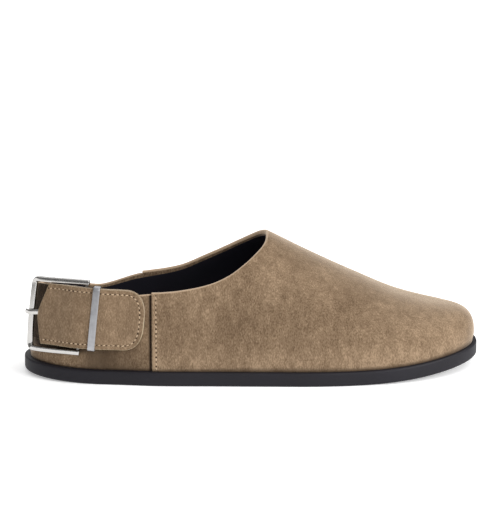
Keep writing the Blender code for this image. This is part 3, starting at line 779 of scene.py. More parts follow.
def wall_piece(name, around, closed, throat, top, outer, inner, rim, material, crease=None, brush=None):
    """A closed wall between two depths under the last's face, with a round top edge up to the throat."""
    count = len(around)
    last = Last(around)
    x = outline(around)[:, 0]
    ridged = x >= throat - NEAR
    points = last.up_to(np.where(ridged, last.ridge, top), UPPER_ROWS)
    numbers = np.arange(points.shape[0] * points.shape[1]).reshape(points.shape[:2])
    order = np.arange(count)
    mate = (count - order) % count if closed else count - 1 - order
    shared = ridged & (mate < order)
    numbers[shared, -1] = numbers[mate[shared], -1]
    quads = strip_faces(numbers, closed)
    flat = points.reshape(-1, 3)
    normals = face_normals(flat, quads)

    edge = order[(x <= throat + NEAR) & ~shared]
    tops = flat[numbers[edge, -1]]
    if closed:
        tangents = np.roll(tops, -1, axis=0) - np.roll(tops, 1, axis=0)
    else:
        tangents = np.gradient(tops, axis=0)
    out = normals[numbers[edge, -1]]
    upward = unit(np.cross(out, tangents))
    moved = flat.copy()
    for k in range(RIM_FADE_ROWS):
        lower = rim * smooth(1.0 - k / RIM_FADE_ROWS)
        for place, column in enumerate(edge):
            both = {column, mate[column]} if ridged[column] else {column}
            for number in {numbers[one, -1 - k] for one in both}:
                moved[number] = flat[number] - upward[place] * lower

    outer = np.broadcast_to(outer, (count,))
    inner = np.broadcast_to(inner, (count,))
    rows = points.shape[1]
    outside = moved - normals * np.repeat(outer, rows)[:, None]
    inside = moved - normals * np.repeat(inner, rows)[:, None]
    feet = numbers[:, 0]
    outside[feet, 2] = inside[feet, 2] = sole_top(outside[feet, 0])
    size = len(flat)
    middle = moved[numbers[edge, -1]] - out * ((outer + inner)[edge] / 2)[:, None]
    half = ((inner - outer)[edge] / 2)[:, None]
    lips = []
    for step in range(1, RIM_STEPS):
        turn = pi * step / RIM_STEPS
        lips.append(middle + out * half * cos(turn) + upward * rim * sin(turn))
    lip_numbers = 2 * size + np.arange(len(lips) * len(edge)).reshape(len(lips), len(edge))
    chains = np.concatenate((numbers[edge, -1][None], lip_numbers, size + numbers[edge, -1][None])).T

    faces = [*quads, *(size + quads)]
    for strip in (np.stack((feet, size + feet), 1), chains):
        faces += [*strip_faces(strip, closed)]
    if not closed:
        for column, chain in ((numbers[0], chains[0]), (numbers[-1], chains[-1])):
            faces += [*strip_faces(np.stack((column, size + column), 1), False), chain]
    everything = np.concatenate((outside, inside, *lips))
    marks = {key: np.zeros(len(everything)) for key in ("crease", "fuzz", "brush")}
    # Painted shade where the piece asks for it
    if crease:
        marks["crease"][:size] = crease(outside)
    # Painted light and painted shade on the suede's tone
    if brush:
        marks["brush"][:size] = brush(outside)
    # Painted shade along the feather edge, where the suede meets the sole
    marks["crease"][feet] = FEATHER_DARK
    # Painted highlight on the rounded top edge
    marks["fuzz"][2 * size:] = 1.0
    return make_piece(name, everything, faces, material, values=marks)


def throat_stations(throat, start):
    """Values of v on the outer side from a place to the toe, close together at the throat."""
    close = throat - THROAT_REACH * (np.arange(THROAT_STEPS + 1) / THROAT_STEPS) ** 2
    even = even_stations(OUTLINE_STEPS)
    x = outline(even)[:, 0]
    clear = (x < close[-1] - THROAT_CLEAR) | (x > throat + 2 * THROAT_CLEAR)
    kept = even[(x > start + THROAT_CLEAR) & clear]
    return np.sort(np.concatenate((kept, station_at(close))))


def top_heights(around, x, drop=0.0):
    """Heights of the top edge at stations on both sides."""
    lateral = along(TOPLINE, "lateral", x)
    medial = along(TOPLINE, "medial", x)
    return np.where(np.asarray(around) >= 0, lateral, medial) - drop


def inner_sag(sizes, around, x):
    """Sag of the inner side's top edge behind the buckle."""
    return millimetres(sizes.rim_sag) * bell(x, SAG_PLACE, SAG_WIDTH) * (np.asarray(around) < 0)


def seam_places(around):
    """Place of the side seam for stations on both sides."""
    return np.where(np.asarray(around) >= 0, SEAM, INNER_SEAM)


def vamp_painted_light(points):
    """Painted shade on the flanks, painted light low along the sole and over the toe, and a painted
    highlight beside the seams.
    """
    x, y, z = points.T
    flank = bell(z, FLANK_HEIGHT, FLANK_SPREAD) * fade(x, *FLANK_FRONT)
    low = fade(z, *LOW_LIGHT_TOP)
    toe = fade(x, *TOE_LIGHT_BACK) * fade(z, *TOE_LIGHT_FOOT)
    seam = bell(x - np.where(y < 0, SEAM, INNER_SEAM), SEAM_HIGHLIGHT_PLACE, SEAM_HIGHLIGHT_SPREAD)
    return FLANK_TONE * flank + LOW_TONE * low + TOE_TONE * toe + SEAM_TONE * seam


def make_vamp(sizes, material):
    """The front of the upper, from one side seam round the toe to the other."""
    close = np.array(VAMP_SEAM_COLUMNS)
    forward = throat_stations(THROAT, SEAM + close[-1])
    outer_side = np.concatenate((station_at(SEAM + close), forward))
    inner_side = np.concatenate((station_at(INNER_SEAM + close), forward))
    around = np.concatenate((outer_side, -inner_side[-2::-1]))
    x = outline(around)[:, 0]
    past = x - seam_places(around)
    edge = millimetres(sizes.seam_edge)
    trough = SEAM_TROUGH_SHARE * millimetres(sizes.stitch_trough)
    outer = edge * fade(past, 2 * edge, 0.0) ** 2
    outer = outer + trough * bell(past, millimetres(sizes.stitch_inset), SEAM_TROUGH_WIDTH)
    inner = millimetres(sizes.suede_depth)
    rim = millimetres(sizes.rim_rounding)
    rise = millimetres(sizes.seam_rise) * np.exp(-past / SEAM_RISE_FADE)
    top = top_heights(around, x, -rise)
    return wall_piece("vamp", around, False, THROAT, top, outer, inner, rim, material, brush=vamp_painted_light)


def make_counter(sizes, material):
    """The back of the upper, from one side seam round the heel to the other, a step under the vamp."""
    close = np.array(COUNTER_SEAM_COLUMNS)
    even = even_stations(OUTLINE_STEPS)
    sides = []
    for seam in (SEAM, INNER_SEAM):
        kept = even[outline(even)[:, 0] < seam - close[0] - COUNTER_CLEAR]
        sides.append(np.concatenate((kept, station_at(seam - close))))
    around = np.concatenate((-sides[1][:0:-1], sides[0]))
    x = outline(around)[:, 0]
    groove = bell(x, seam_places(around), GROOVE_WIDTH)
    outer = millimetres(sizes.seam_step) + millimetres(sizes.seam_groove) * groove
    inner = millimetres(sizes.suede_depth)
    rim = millimetres(sizes.rim_rounding)
    top = top_heights(around, x, inner_sag(sizes, around, x))

    def crease(points):
        """Painted shade in the seam's groove, behind the buckle's lower arm, and a little under the strap.
        """
        x, y, z = points.T
        ahead = fade(x, *TIP_SHADE_BACK)
        under_tip = ahead * fade(x, *TIP_SHADE_FRONT) * fade(z, *TIP_SHADE_TOP)
        under_buckle = (1.0 - ahead) * fade(z, *BUCKLE_SHADE_FOOT)
        seam = np.repeat(np.minimum(SEAM_DARK * groove, 1.0), UPPER_ROWS + 1)
        return np.maximum(seam, (TIP_DARK * under_tip + BUCKLE_DARK * under_buckle) * (y < 0))

    return wall_piece("counter", around, False, THROAT, top, outer, inner, rim, material, crease=crease)


def make_lining(sizes, material):
    """The cloth inside the upper, which starts under the turned-in suede."""
    depth = millimetres(sizes.rim_depth)
    throat = THROAT + depth
    stations = np.concatenate(([0.0], throat_stations(throat, 0.0)))
    around = np.concatenate((stations, -stations[-2:0:-1]))
    x = outline(around)[:, 0]
    fall = float(along(SECTIONS, "ridge", THROAT) - along(SECTIONS, "ridge", throat))
    closing = fade(x, throat - THROAT_REACH, throat) ** 2
    wider = fade(x, *WIDE_RIM_FRONT) * fade(x, *WIDE_RIM_BACK) * (around < 0)
    drop = LINING_DROP_SHARE * depth * (1.0 - closing) + fall * closing
    drop = drop + millimetres(sizes.inner_rim) * wider + inner_sag(sizes, around, x)
    lead = depth * (LINING_LEAD * closing + (1.0 - LINING_LEAD) * closing ** 4)
    top = top_heights(around, x - lead, drop)
    outer = millimetres(sizes.suede_depth) + LAYER_GAP
    inner = millimetres(sizes.lining_depth)
    return wall_piece("lining", around, True, throat, top, outer, inner, LINING_RIM, material)


def strap_standoff(a):
    """Clearance of the strap from the counter."""
    return along(BAND, "standoff", a)


def strap_half_width(a):
    """Half width of the strap, down to nothing at its round tip."""
    return along(BAND, "half_width", a) * end_round(STRAP_TIP - a, TIP_ROUNDING, TIP_SQUARENESS)


def strap_places(start, step):
    """Places along the strap from a start to its tip."""
    straight = np.arange(start, STRAP_TIP - TIP_ROUNDING - step / 2, step)
    tip = STRAP_TIP - TIP_ROUNDING * (1.0 - np.sin(pi / 2 * np.arange(TIP_STEPS) / TIP_STEPS))
    return np.concatenate((straight, tip, [STRAP_TIP - TIP_FLAT]))


def facing_freedom(a):
    """How far the facing is free of the under layer: 1 at its pointed end, 0 where the two are sewn."""
    return smooth(fade(a, FACING_JOIN, FACING_START))


def facing_back(sizes, a):
    """Distance of the facing's back from the counter."""
    return strap_standoff(a) + millimetres(sizes.band_thickness) + FACING_LIFT * facing_freedom(a)


def strap_plan(places, shares, inset, facing):
    """Places along and across one layer of the strap of a grid of points, drawn in from its edges."""
    half = strap_half_width(places)
    if not facing:
        half = half - UNDER_LAYER_INSET * facing_freedom(places)
    run, rise = np.gradient(places), np.gradient(half)
    tilt = np.hypot(run, rise)
    a = np.maximum(places + inset * rise / tilt, places[0] + inset)[:, None]
    b = (half - inset * run / tilt)[:, None] * shares[None]
    if facing:
        point = FACING_POINT_DEPTH * np.maximum(1.0 - (places - FACING_START) / FACING_POINT_FADE, 0.0)
        a = a + point[:, None] * np.maximum(np.abs(shares) - SLOT_SHARE, 0.0)[None]
    return np.broadcast_to(a, b.shape), b


def edge_distance(a, b, places):
    """Distance of places on the strap from its long edges and its tip."""
    half = strap_half_width(places)
    line = np.concatenate((np.column_stack((places, half)), np.column_stack((places, -half))))
    spots = np.column_stack((a.ravel(), b.ravel()))
    nearest = np.full(len(spots), np.inf)
    for point in line:
        nearest = np.minimum(nearest, np.hypot(*(spots - point).T))
    return nearest.reshape(a.shape)


def strap_layer(
    wrap, name, places, shares, back, thickness, rounding, material, slot=None, pull=None, crease=None
):
    """One layer of the strap, with rounded cut edges, and a slot for the prong where one is asked for."""
    facing = slot is None
    back = back[:, None]
    soft = EDGE_ROUND_SHARE * rounding
    profile = ((soft, thickness - soft), (0.0, thickness - rounding), (0.0, rounding), (soft, soft))
    a, b = strap_plan(places, shares, rounding, facing)
    face = wrap.point(a, b, back + thickness - (0.0 if pull is None else pull(a, b)))
    columns, rows = a.shape
    size = columns * rows
    numbers = np.arange(size).reshape(columns, rows)
    rim = np.concatenate((numbers[:, 0], numbers[-1, 1:-1], numbers[::-1, -1], numbers[0, -2:0:-1]))
    rings = [rim]
    points = [face.reshape(-1, 3), wrap.point(a, b, back).reshape(-1, 3)]
    made = 2 * size
    for depth, height in profile:
        ring_a, ring_b = strap_plan(places, shares, depth, facing)
        points.append(wrap.point(ring_a, ring_b, back + height).reshape(-1, 3)[rim])
        rings.append(made + np.arange(len(rim)))
        made += len(rim)
    rings.append(size + rim)
    quads = strip_faces(numbers, False)
    walls = [strip_faces(np.stack(rings, 1), True)]
    if slot is not None:
        first, last, row = slot
        quads = np.delete(quads, np.arange(first, last) * (rows - 1) + row, axis=0)
        around = np.concatenate((numbers[first:last + 1, row], numbers[first:last + 1, row + 1][::-1]))
        walls.append(strip_faces(np.stack((around, size + around), 1), True))
    faces = np.concatenate((quads, size + quads, *walls))
    # Pale raw edge on the cut edges, full at the tip and under edge and weaker along the upper edge: painted
    # light and shade on the edge's own colour
    cut = np.zeros(made)
    upper_edge = np.isin(rim, numbers[:, -1])
    cut[2 * size:] = np.tile(np.where(upper_edge, SHADED_UPPER_EDGE_CUT, 1.0), len(profile))
    # Painted shade carried from the layer's face to its cut edges
    dark = np.zeros(made)
    if crease is not None:
        dark[:size] = np.repeat(crease, rows)
        dark[2 * size:] = np.tile(dark[rim], len(profile))
    values = {"cut_edge": cut, "crease": dark}
    return make_piece(name, np.concatenate(points), faces, material, values=values)


def make_band(sizes, wrap, material):
    """The strap's under layer round the heel, with a slot for the prong."""
    before = np.arange(STRAP_START, SLOT_START - BAND_STEP / 2, BAND_STEP)
    slot = np.linspace(SLOT_START, SLOT_END, SLOT_STEPS)
    places = np.concatenate((before, slot, strap_places(SLOT_END + BAND_STEP, BAND_STEP)))
    wide = np.linspace(SLOT_SHARE, 1.0, BAND_SHARES)
    shares = np.concatenate((-wide[::-1], wide))
    spot = (len(before), len(before) + len(slot) - 1, len(wide) - 1)
    back = strap_standoff(places)
    thickness = millimetres(sizes.band_thickness)
    rounding = millimetres(sizes.strap_rounding)
    # Painted shade on the under layer from the left bar to the keeper, under the frame and the facing
    crease = fade(places, FRAME_LEFT - BAND_SHADE_FADE, FRAME_LEFT) * (places < KEEPER_PLACE)
    return strap_layer(
        wrap, "strap_band", places, shares, back, thickness, rounding, material, slot=spot, crease=crease
    )


def make_facing(sizes, wrap, material):
    """The sewn facing on the strap's buckled end, pulled in along its stitches."""
    places = strap_places(FACING_START, FACING_STEP)
    shares = np.linspace(-1.0, 1.0, FACING_SHARES)
    edge = strap_places(FACING_START, FACING_EDGE_STEP)
    inset = millimetres(sizes.stitch_inset)

    def pull(a, b):
        """Depth of the trough along the stitches."""
        return millimetres(sizes.stitch_trough) * bell(edge_distance(a, b, edge), inset, FACING_TROUGH_WIDTH)

    back = facing_back(sizes, places) + LAYER_GAP
    thickness = millimetres(sizes.facing_thickness)
    rounding = millimetres(sizes.strap_rounding)
    return strap_layer(wrap, "strap_facing", places, shares, back, thickness, rounding, material, pull=pull)


def tube_piece(name, rings, closed, material, sharp=SHARP_ANGLE):
    """A closed piece through rings of points; an open one has its ends closed."""
    rings = np.asarray(rings)
    numbers = np.arange(rings.shape[0] * rings.shape[1]).reshape(rings.shape[:2])
    faces = [*strip_faces(numbers, closed, True)]
    if not closed:
        faces += [numbers[0], numbers[-1]]
    return make_piece(name, rings.reshape(-1, 3), faces, material, sharp=sharp)


def rounded_loop(low, high, corner, arc_steps, side_steps):
    """Points round a rectangle with round corners, each with the direction that points out of it."""
    inner_low = (low[0] + corner, low[1] + corner)
    inner_high = (high[0] - corner, high[1] - corner)
    centres = (inner_low, (inner_high[0], inner_low[1]), inner_high, (inner_low[0], inner_high[1]))
    points = []
    for k, centre in enumerate(centres):
        following = centres[(k + 1) % 4]
        for step in range(arc_steps + 1):
            turn = pi + pi / 2 * (k + step / arc_steps)
            out = (cos(turn), sin(turn))
            points.append((centre[0] + corner * out[0], centre[1] + corner * out[1], *out))
        for step in range(1, side_steps[k % 2]):
            t = step / side_steps[k % 2]
            middle = [centre[axis] + t * (following[axis] - centre[axis]) for axis in range(2)]
            points.append((middle[0] + corner * out[0], middle[1] + corner * out[1], *out))
    return np.array(points)


def soft_square(half_width, half_height, squareness, count):
    """Points round a bar's section, a square with soft corners."""
    angles = 2 * pi * (np.arange(count) + 0.5) / count
    across = np.sign(np.cos(angles)) * np.abs(np.cos(angles)) ** (2.0 / squareness)
    lift = np.sign(np.sin(angles)) * np.abs(np.sin(angles)) ** (2.0 / squareness)
    return half_width * across, half_height * lift


def frame_share(a):
    """Share of the way from the buckle's left bar to its pin."""
    return (a - FRAME_LEFT) / (FRAME_RIGHT - FRAME_LEFT)


def frame_middle(sizes, a):
    """Distance of the buckle's bars from the counter: over the strap at the left, level with the pin."""
    left = strap_standoff(FRAME_LEFT) + millimetres(sizes.band_thickness) + FRAME_GAP + BAR_REACH
    return left + (PIN_HEIGHT - left) * smooth(np.clip(frame_share(a), 0.0, 1.0))


def frame_lean(a):
    """Lean of the buckle along the strap for each millimetre across it."""
    return FRAME_LEFT_LEAN + (FRAME_RIGHT_LEAN - FRAME_LEFT_LEAN) * frame_share(a)


def frame_half_width(sizes):
    """Distance from the buckle's middle to the middle of its arms."""
    return float(strap_half_width(FACING_START)) + FRAME_SIDE_CLEARANCE + millimetres(sizes.arm_width) / 2


def frame_path(sizes):
    """Middle line of the frame, from arm end to arm end round the left bar, with the direction out of it."""
    half = frame_half_width(sizes)
    bevel = millimetres(sizes.bar_bevel)
    end = FRAME_RIGHT + FRAME_END
    bend = FRAME_LEFT + FRAME_CORNER
    straight = np.linspace(end - 2 * bevel, bend, ARM_STEPS)[:-1]
    arm = np.concatenate(([end - row.share * bevel for row in ARM_END], straight))
    upper = np.column_stack((arm, np.full(len(arm), half), np.zeros(len(arm)), np.ones(len(arm))))
    turn = np.linspace(pi / 2, pi, CORNER_STEPS)
    out_a, out_b = np.cos(turn), np.sin(turn)
    corner_a = bend + FRAME_CORNER * out_a
    corner_b = half - FRAME_CORNER * (1.0 - out_b)
    corner = np.column_stack((corner_a, corner_b, out_a, out_b))
    drop = np.linspace(half - FRAME_CORNER, FRAME_CORNER - half, ARM_STEPS)[1:-1]
    bar = np.column_stack((np.full(len(drop), FRAME_LEFT), drop, -np.ones(len(drop)), np.zeros(len(drop))))
    mirror = np.array((1.0, -1.0, 1.0, -1.0))
    return np.concatenate((upper, corner, bar, corner[::-1] * mirror, upper[::-1] * mirror))


def make_frame(sizes, wrap, material):
    """The buckle's frame, a bar with soft square edges bent to three sides, whose two arms hold the pin."""
    a, b, out_a, out_b = frame_path(sizes).T
    across, lift = soft_square(0.5, millimetres(sizes.bar_depth) / 2, BAR_SQUARENESS, BAR_CORNERS)
    ends = [row.slim for row in ARM_END]
    slim = np.concatenate((ends, np.ones(len(a) - 2 * len(ends)), ends[::-1]))
    arm, bar = millimetres(sizes.arm_width), millimetres(sizes.bar_width)
    across = (slim * (arm - (bar - arm) * out_a))[:, None] * across[None]
    lift = slim[:, None] * lift[None]
    turn = -BAR_TURN * out_a[:, None]
    side = across * np.cos(turn) - lift * np.sin(turn)
    rings = wrap.point(
        (a + b * frame_lean(a))[:, None] + out_a[:, None] * side,
        (b - FRAME_DROP)[:, None] + out_b[:, None] * side,
        frame_middle(sizes, a)[:, None] + across * np.sin(turn) + lift * np.cos(turn),
    )
    return tube_piece("buckle_frame_polished", rings, False, material)


def make_pin(sizes, wrap, material):
    """The pin between the frame's arms, under the strap."""
    half = frame_half_width(sizes) - millimetres(sizes.arm_width) / 2 - FRAME_GAP
    b = np.linspace(-half, half, PIN_STEPS)
    across, lift = soft_square(millimetres(sizes.pin) / 2, millimetres(sizes.pin) / 2, ROUND, ROD_CORNERS)
    leaning = FRAME_RIGHT + b * frame_lean(FRAME_RIGHT)
    rings = wrap.point(leaning[:, None] + across[None], (b - FRAME_DROP)[:, None], PIN_HEIGHT + lift[None])
    return tube_piece("buckle_pin_polished", rings, False, material)


def smooth_path(points, count):
    """Even points along a smooth curve through a few points."""
    points = np.asarray(points, float)
    run = run_length(points)
    slopes = np.gradient(points, run, axis=0)
    place = np.linspace(0.0, run[-1], count)
    return np.column_stack([blend(run, points[:, k], slopes[:, k], place) for k in range(2)])


def prong_path(sizes):
    """Middle line of the prong: a hook on the pin, through the strap's slot and over the left bar."""
    half = millimetres(sizes.prong_thickness) / 2
    over = float(frame_middle(sizes, FRAME_LEFT)) + BAR_REACH + FRAME_GAP + half
    hook = millimetres(sizes.pin) / 2 + FRAME_GAP + half
    turns = np.linspace(HOOK_START, HOOK_END, HOOK_STEPS)
    path = [(FRAME_RIGHT + hook * cos(t), PIN_HEIGHT + hook * sin(t)) for t in turns]
    path.append((SLOT_END, PRONG_UNDER))
    path += [(row.a, PRONG_UNDER + row.share * (over - PRONG_UNDER)) for row in PRONG_RISE]
    path.append((FRAME_LEFT + PRONG_BEND, over))
    tip = FRAME_LEFT - millimetres(sizes.bar_width) / 2 - PRONG_OVERHANG
    path.append((tip, over - FRAME_GAP / 2))
    return path


def make_prong(sizes, wrap, material):
    """The buckle's prong, a flat rod with a round tip."""
    path = smooth_path(prong_path(sizes), PRONG_STEPS)
    tangents = unit(np.gradient(path, axis=0))
    reach = millimetres(sizes.prong_width) / 2
    at_tip = np.arange(len(path)) > PRONG_TIP_STEP
    from_tip = np.where(at_tip, np.linalg.norm(path - path[-1], axis=1), reach)
    taper = np.maximum(end_round(from_tip, reach, ROUND), PRONG_TIP_SHARE)
    half = millimetres(sizes.prong_thickness) / 2
    across, lift = soft_square(reach, half, PRONG_SQUARENESS, ROD_CORNERS)
    lift = lift[None] * np.sqrt(taper)[:, None]
    rings = wrap.point(
        path[:, :1] + lift * tangents[:, 1:],
        across[None] * taper[:, None],
        path[:, 1:] - lift * tangents[:, :1],
    )
    return tube_piece("buckle_prong_polished", rings, False, material)


def make_keeper(sizes, wrap, material):
    """The flat metal keeper round the strap, with bevelled edges."""
    thickness = millimetres(sizes.keeper_thickness)
    width = millimetres(sizes.keeper_width) / 2
    bevel = millimetres(sizes.keeper_bevel)
    room = KEEPER_ROOM + thickness / 2
    stand = float(strap_standoff(KEEPER_PLACE))
    half = float(strap_half_width(KEEPER_PLACE)) + FRAME_GAP + thickness / 2
    layers = millimetres(sizes.band_thickness) + millimetres(sizes.facing_thickness)
    low, high = (-half, stand - room), (half, stand + layers + room)
    b, d, out_b, out_d = rounded_loop(low, high, KEEPER_CORNER, KEEPER_CORNER_STEPS, KEEPER_SIDE_STEPS).T
    low, high = (-width, -thickness / 2), (width, thickness / 2)
    side, layer = rounded_loop(low, high, bevel, KEEPER_BEVEL_STEPS, KEEPER_EDGE_STEPS)[:, :2].T
    rings = wrap.point(
        KEEPER_PLACE + np.broadcast_to(side[None], (len(b), len(side))),
        b[:, None] + out_b[:, None] * layer[None],
        d[:, None] + out_d[:, None] * layer[None],
    )
    return tube_piece("strap_keeper_satin", rings, True, material, sharp=KEEPER_SHARP_ANGLE)


def add_node(tree, kind, settings, inputs):
    """A new node with its settings, and its inputs set to values or linked to sockets."""
    made = tree.nodes.new(kind)
    for name, value in settings.items():
        setattr(made, name, value)
    for key, value in inputs.items():
        if isinstance(value, bpy.types.NodeSocket):
            tree.links.new(value, made.inputs[key])
        else:
            made.inputs[key].default_value = value
    return made


def set_inputs(shader, values):
    """Constant values on a shader's own sockets."""
    for name, value in values.items():
        shader.inputs[name].default_value = value


def calculate(tree, operation, first, second):
    """The result of a sum on values or sockets."""
    return add_node(tree, "ShaderNodeMath", {"operation": operation}, {0: first, 1: second}).outputs[0]


def new_group(name, inputs, outputs):
    """An empty shader node group with named values in and out, and its two end nodes."""
    tree = bpy.data.node_groups.new(name, "ShaderNodeTree")
    tree.interface.new_socket("Vector", in_out="INPUT", socket_type="NodeSocketVector")
    for title, default in inputs.items():
        socket = tree.interface.new_socket(title, in_out="INPUT", socket_type="NodeSocketFloat")
        socket.default_value = default
    for title in outputs:
        tree.interface.new_socket(title, in_out="OUTPUT", socket_type="NodeSocketFloat")
    return tree, tree.nodes.new("NodeGroupInput"), tree.nodes.new("NodeGroupOutput")


def nap_group():
    """Brushed nap: clouds and mottles where a hand has turned the pile, and the pile itself."""
    known = bpy.data.node_groups.get("Brushed nap")
    if known:
        return known
    tree, start, end = new_group("Brushed nap", UPPER_NAP, ("Tone", "Height"))
    brushed = add_node(
        tree, "ShaderNodeVectorMath", {"operation": "MULTIPLY"}, {0: start.outputs["Vector"], 1: NAP_STRETCH}
    )
    tone = 0.5
    for layer, detail in NAP_DETAIL.items():
        scale = calculate(tree, "DIVIDE", 1.0, start.outputs[layer + " Size"])
        noise = add_node(
            tree, "ShaderNodeTexNoise", {},
            {
                "Vector": brushed.outputs["Vector"], "Scale": scale,
                "Detail": detail, "Roughness": NAP_ROUGHNESS,
            },
        )
        swing = calculate(tree, "SUBTRACT", noise.outputs["Fac"], 0.5)
        swing = calculate(tree, "MULTIPLY", swing, start.outputs[layer + " Contrast"])
        tone = calculate(tree, "ADD", swing, tone)
        height = noise.outputs["Fac"]
    tree.links.new(tone, end.inputs["Tone"])
    tree.links.new(height, end.inputs["Height"])
    return tree


def grain_group():
    """Fine grain and broader patches, for rubber, cloth, thread and metal."""
    known = bpy.data.node_groups.get("Fine grain")
    if known:
        return known
    inputs = {"Grain Size": RUBBER.grain, "Patch Size": RUBBER.patch}
    tree, start, end = new_group("Fine grain", inputs, ("Grain", "Patch"))
    for title in ("Grain", "Patch"):
        scale = calculate(tree, "DIVIDE", 1.0, start.outputs[title + " Size"])
        noise = add_node(
            tree, "ShaderNodeTexNoise", {},
            {"Vector": start.outputs["Vector"], "Scale": scale, "Detail": GRAIN_DETAIL},
        )
        tree.links.new(noise.outputs["Fac"], end.inputs[title])
    return tree


def new_material(name):
    """A material with its shader and the piece's own coordinates."""
    material = bpy.data.materials.new(name)
    material.use_nodes = True
    tree = material.node_tree
    shader = tree.nodes["Principled BSDF"]
    place = tree.nodes.new("ShaderNodeTexCoord").outputs["Object"]
    return material, tree, shader, place


def add_group(tree, group, vector, values):
    """A node group placed in a material with its own values."""
    return add_node(tree, "ShaderNodeGroup", {"node_tree": group}, {"Vector": vector, **values})


def tone_ramp(tree, tone, stops):
    """Colours along a tone from 0 to 1."""
    ramp = add_node(tree, "ShaderNodeValToRGB", {}, {"Fac": tone})
    elements = ramp.color_ramp.elements
    while len(elements) < len(stops):
        elements.new(0.5)
    for element, (place, shade) in zip(elements, stops):
        element.position = place
        element.color = (*shade, 1.0)
    return ramp.outputs["Color"]


def shaded(shade, share):
    """A colour made lighter or darker."""
    return [min(part * share, 1.0) for part in shade]


def bump(tree, shader, height, relief, depth):
    """Relief from a height that varies over the surface."""
    values = {"Height": height, "Strength": relief, "Distance": depth}
    made = add_node(tree, "ShaderNodeBump", {}, values)
    tree.links.new(made.outputs["Normal"], shader.inputs["Normal"])


def attribute(tree, name):
    """A value that the piece carries at its points, 0 where it carries none."""
    return add_node(tree, "ShaderNodeAttribute", {"attribute_name": name}, {}).outputs["Fac"]


def marked(tree, name, shade, other, pile=None):
    """A colour changed to another where the piece marks it, ragged where pile lies over it."""
    mark = attribute(tree, name)
    if pile is not None:
        ragged = calculate(tree, "MULTIPLY", calculate(tree, "SUBTRACT", pile, 0.5), RAGGED)
        ragged = calculate(tree, "MULTIPLY", calculate(tree, "ADD", ragged, 1.0), mark)
        mark = add_node(tree, "ShaderNodeClamp", {}, {"Value": ragged}).outputs["Result"]
    mixed = add_node(tree, "ShaderNodeMix", {"data_type": "RGBA"}, {0: mark, 6: shade, 7: (*other, 1.0)})
    return mixed.outputs[2]


def suede_material(name, colours, values, cut_edges):
    """Brushed suede, with painted shade and painted light where the piece marks them; the strap's pale cut
    edges partly carry painted light, and the upper gets a painted highlight along its top edge.
    """
    material, tree, shader, place = new_material(name)
    nap = add_group(tree, nap_group(), place, values)
    stops = ((0.0, colours.suede_dark), (0.5, colours.suede), (1.0, colours.suede_light))
    # The suede's tone follows its random nap, plus the painted light and shade that the piece marks
    tone = calculate(tree, "ADD", nap.outputs["Tone"], attribute(tree, "brush"))
    shade = tone_ramp(tree, tone, stops)
    if cut_edges:
        shade = marked(tree, "cut_edge", shade, colours.cut_edge)
    else:
        shade = marked(tree, "fuzz", shade, colours.fuzz, nap.outputs["Height"])
    # Painted shade, ragged where pile lies over it
    shade = marked(tree, "crease", shade, colours.crease, nap.outputs["Height"])
    tree.links.new(shade, shader.inputs["Base Color"])
    set_inputs(shader, {
        "Roughness": 0.95,
        "Specular IOR Level": 0.12,
        "Sheen Weight": 1.0,
        "Sheen Roughness": 0.36,
        "Sheen Tint": (*colours.suede_sheen, 1.0),
    })
    bump(tree, shader, nap.outputs["Height"], NAP_RELIEF, NAP_DEPTH)
    return material


def grained_material(name, finish, stops, constants):
    """A surface with a fine grain, patchy in tone and gloss."""
    material, tree, shader, place = new_material(name)
    made = add_group(tree, grain_group(), place, {"Grain Size": finish.grain, "Patch Size": finish.patch})
    patch = made.outputs["Patch"]
    tree.links.new(tone_ramp(tree, patch, stops), shader.inputs["Base Color"])
    low, high = finish.rough - finish.spread, finish.rough + finish.spread
    span = add_node(tree, "ShaderNodeMapRange", {}, {"Value": patch, "To Min": low, "To Max": high})
    tree.links.new(span.outputs[0], shader.inputs["Roughness"])
    set_inputs(shader, constants)
    bump(tree, shader, made.outputs["Grain"], finish.relief, finish.depth)
    return material


def matt_material(name, shade, finish):
    """Rubber, leather, cloth or thread."""
    dark, light = (shaded(shade, share) for share in MATT_TONES)
    return grained_material(name, finish, ((0.25, dark), (0.75, light)), {"Specular IOR Level": 0.28})


def metal_material(name, shade, finish):
    """Plated metal with a slightly uneven polish."""
    dark = shaded(shade, 1.0 - METAL_TONE_DROP * finish.spread)
    return grained_material(name, finish, ((0.3, dark), (0.7, shade)), {"Metallic": 1.0})


def random_between(tree, limits, seed):
    """A random number for each stitch, the same in every run."""
    inputs = {2: limits[0], 3: limits[1], 8: seed}
    return add_node(tree, "FunctionNodeRandomValue", {"data_type": "FLOAT"}, inputs).outputs[1]


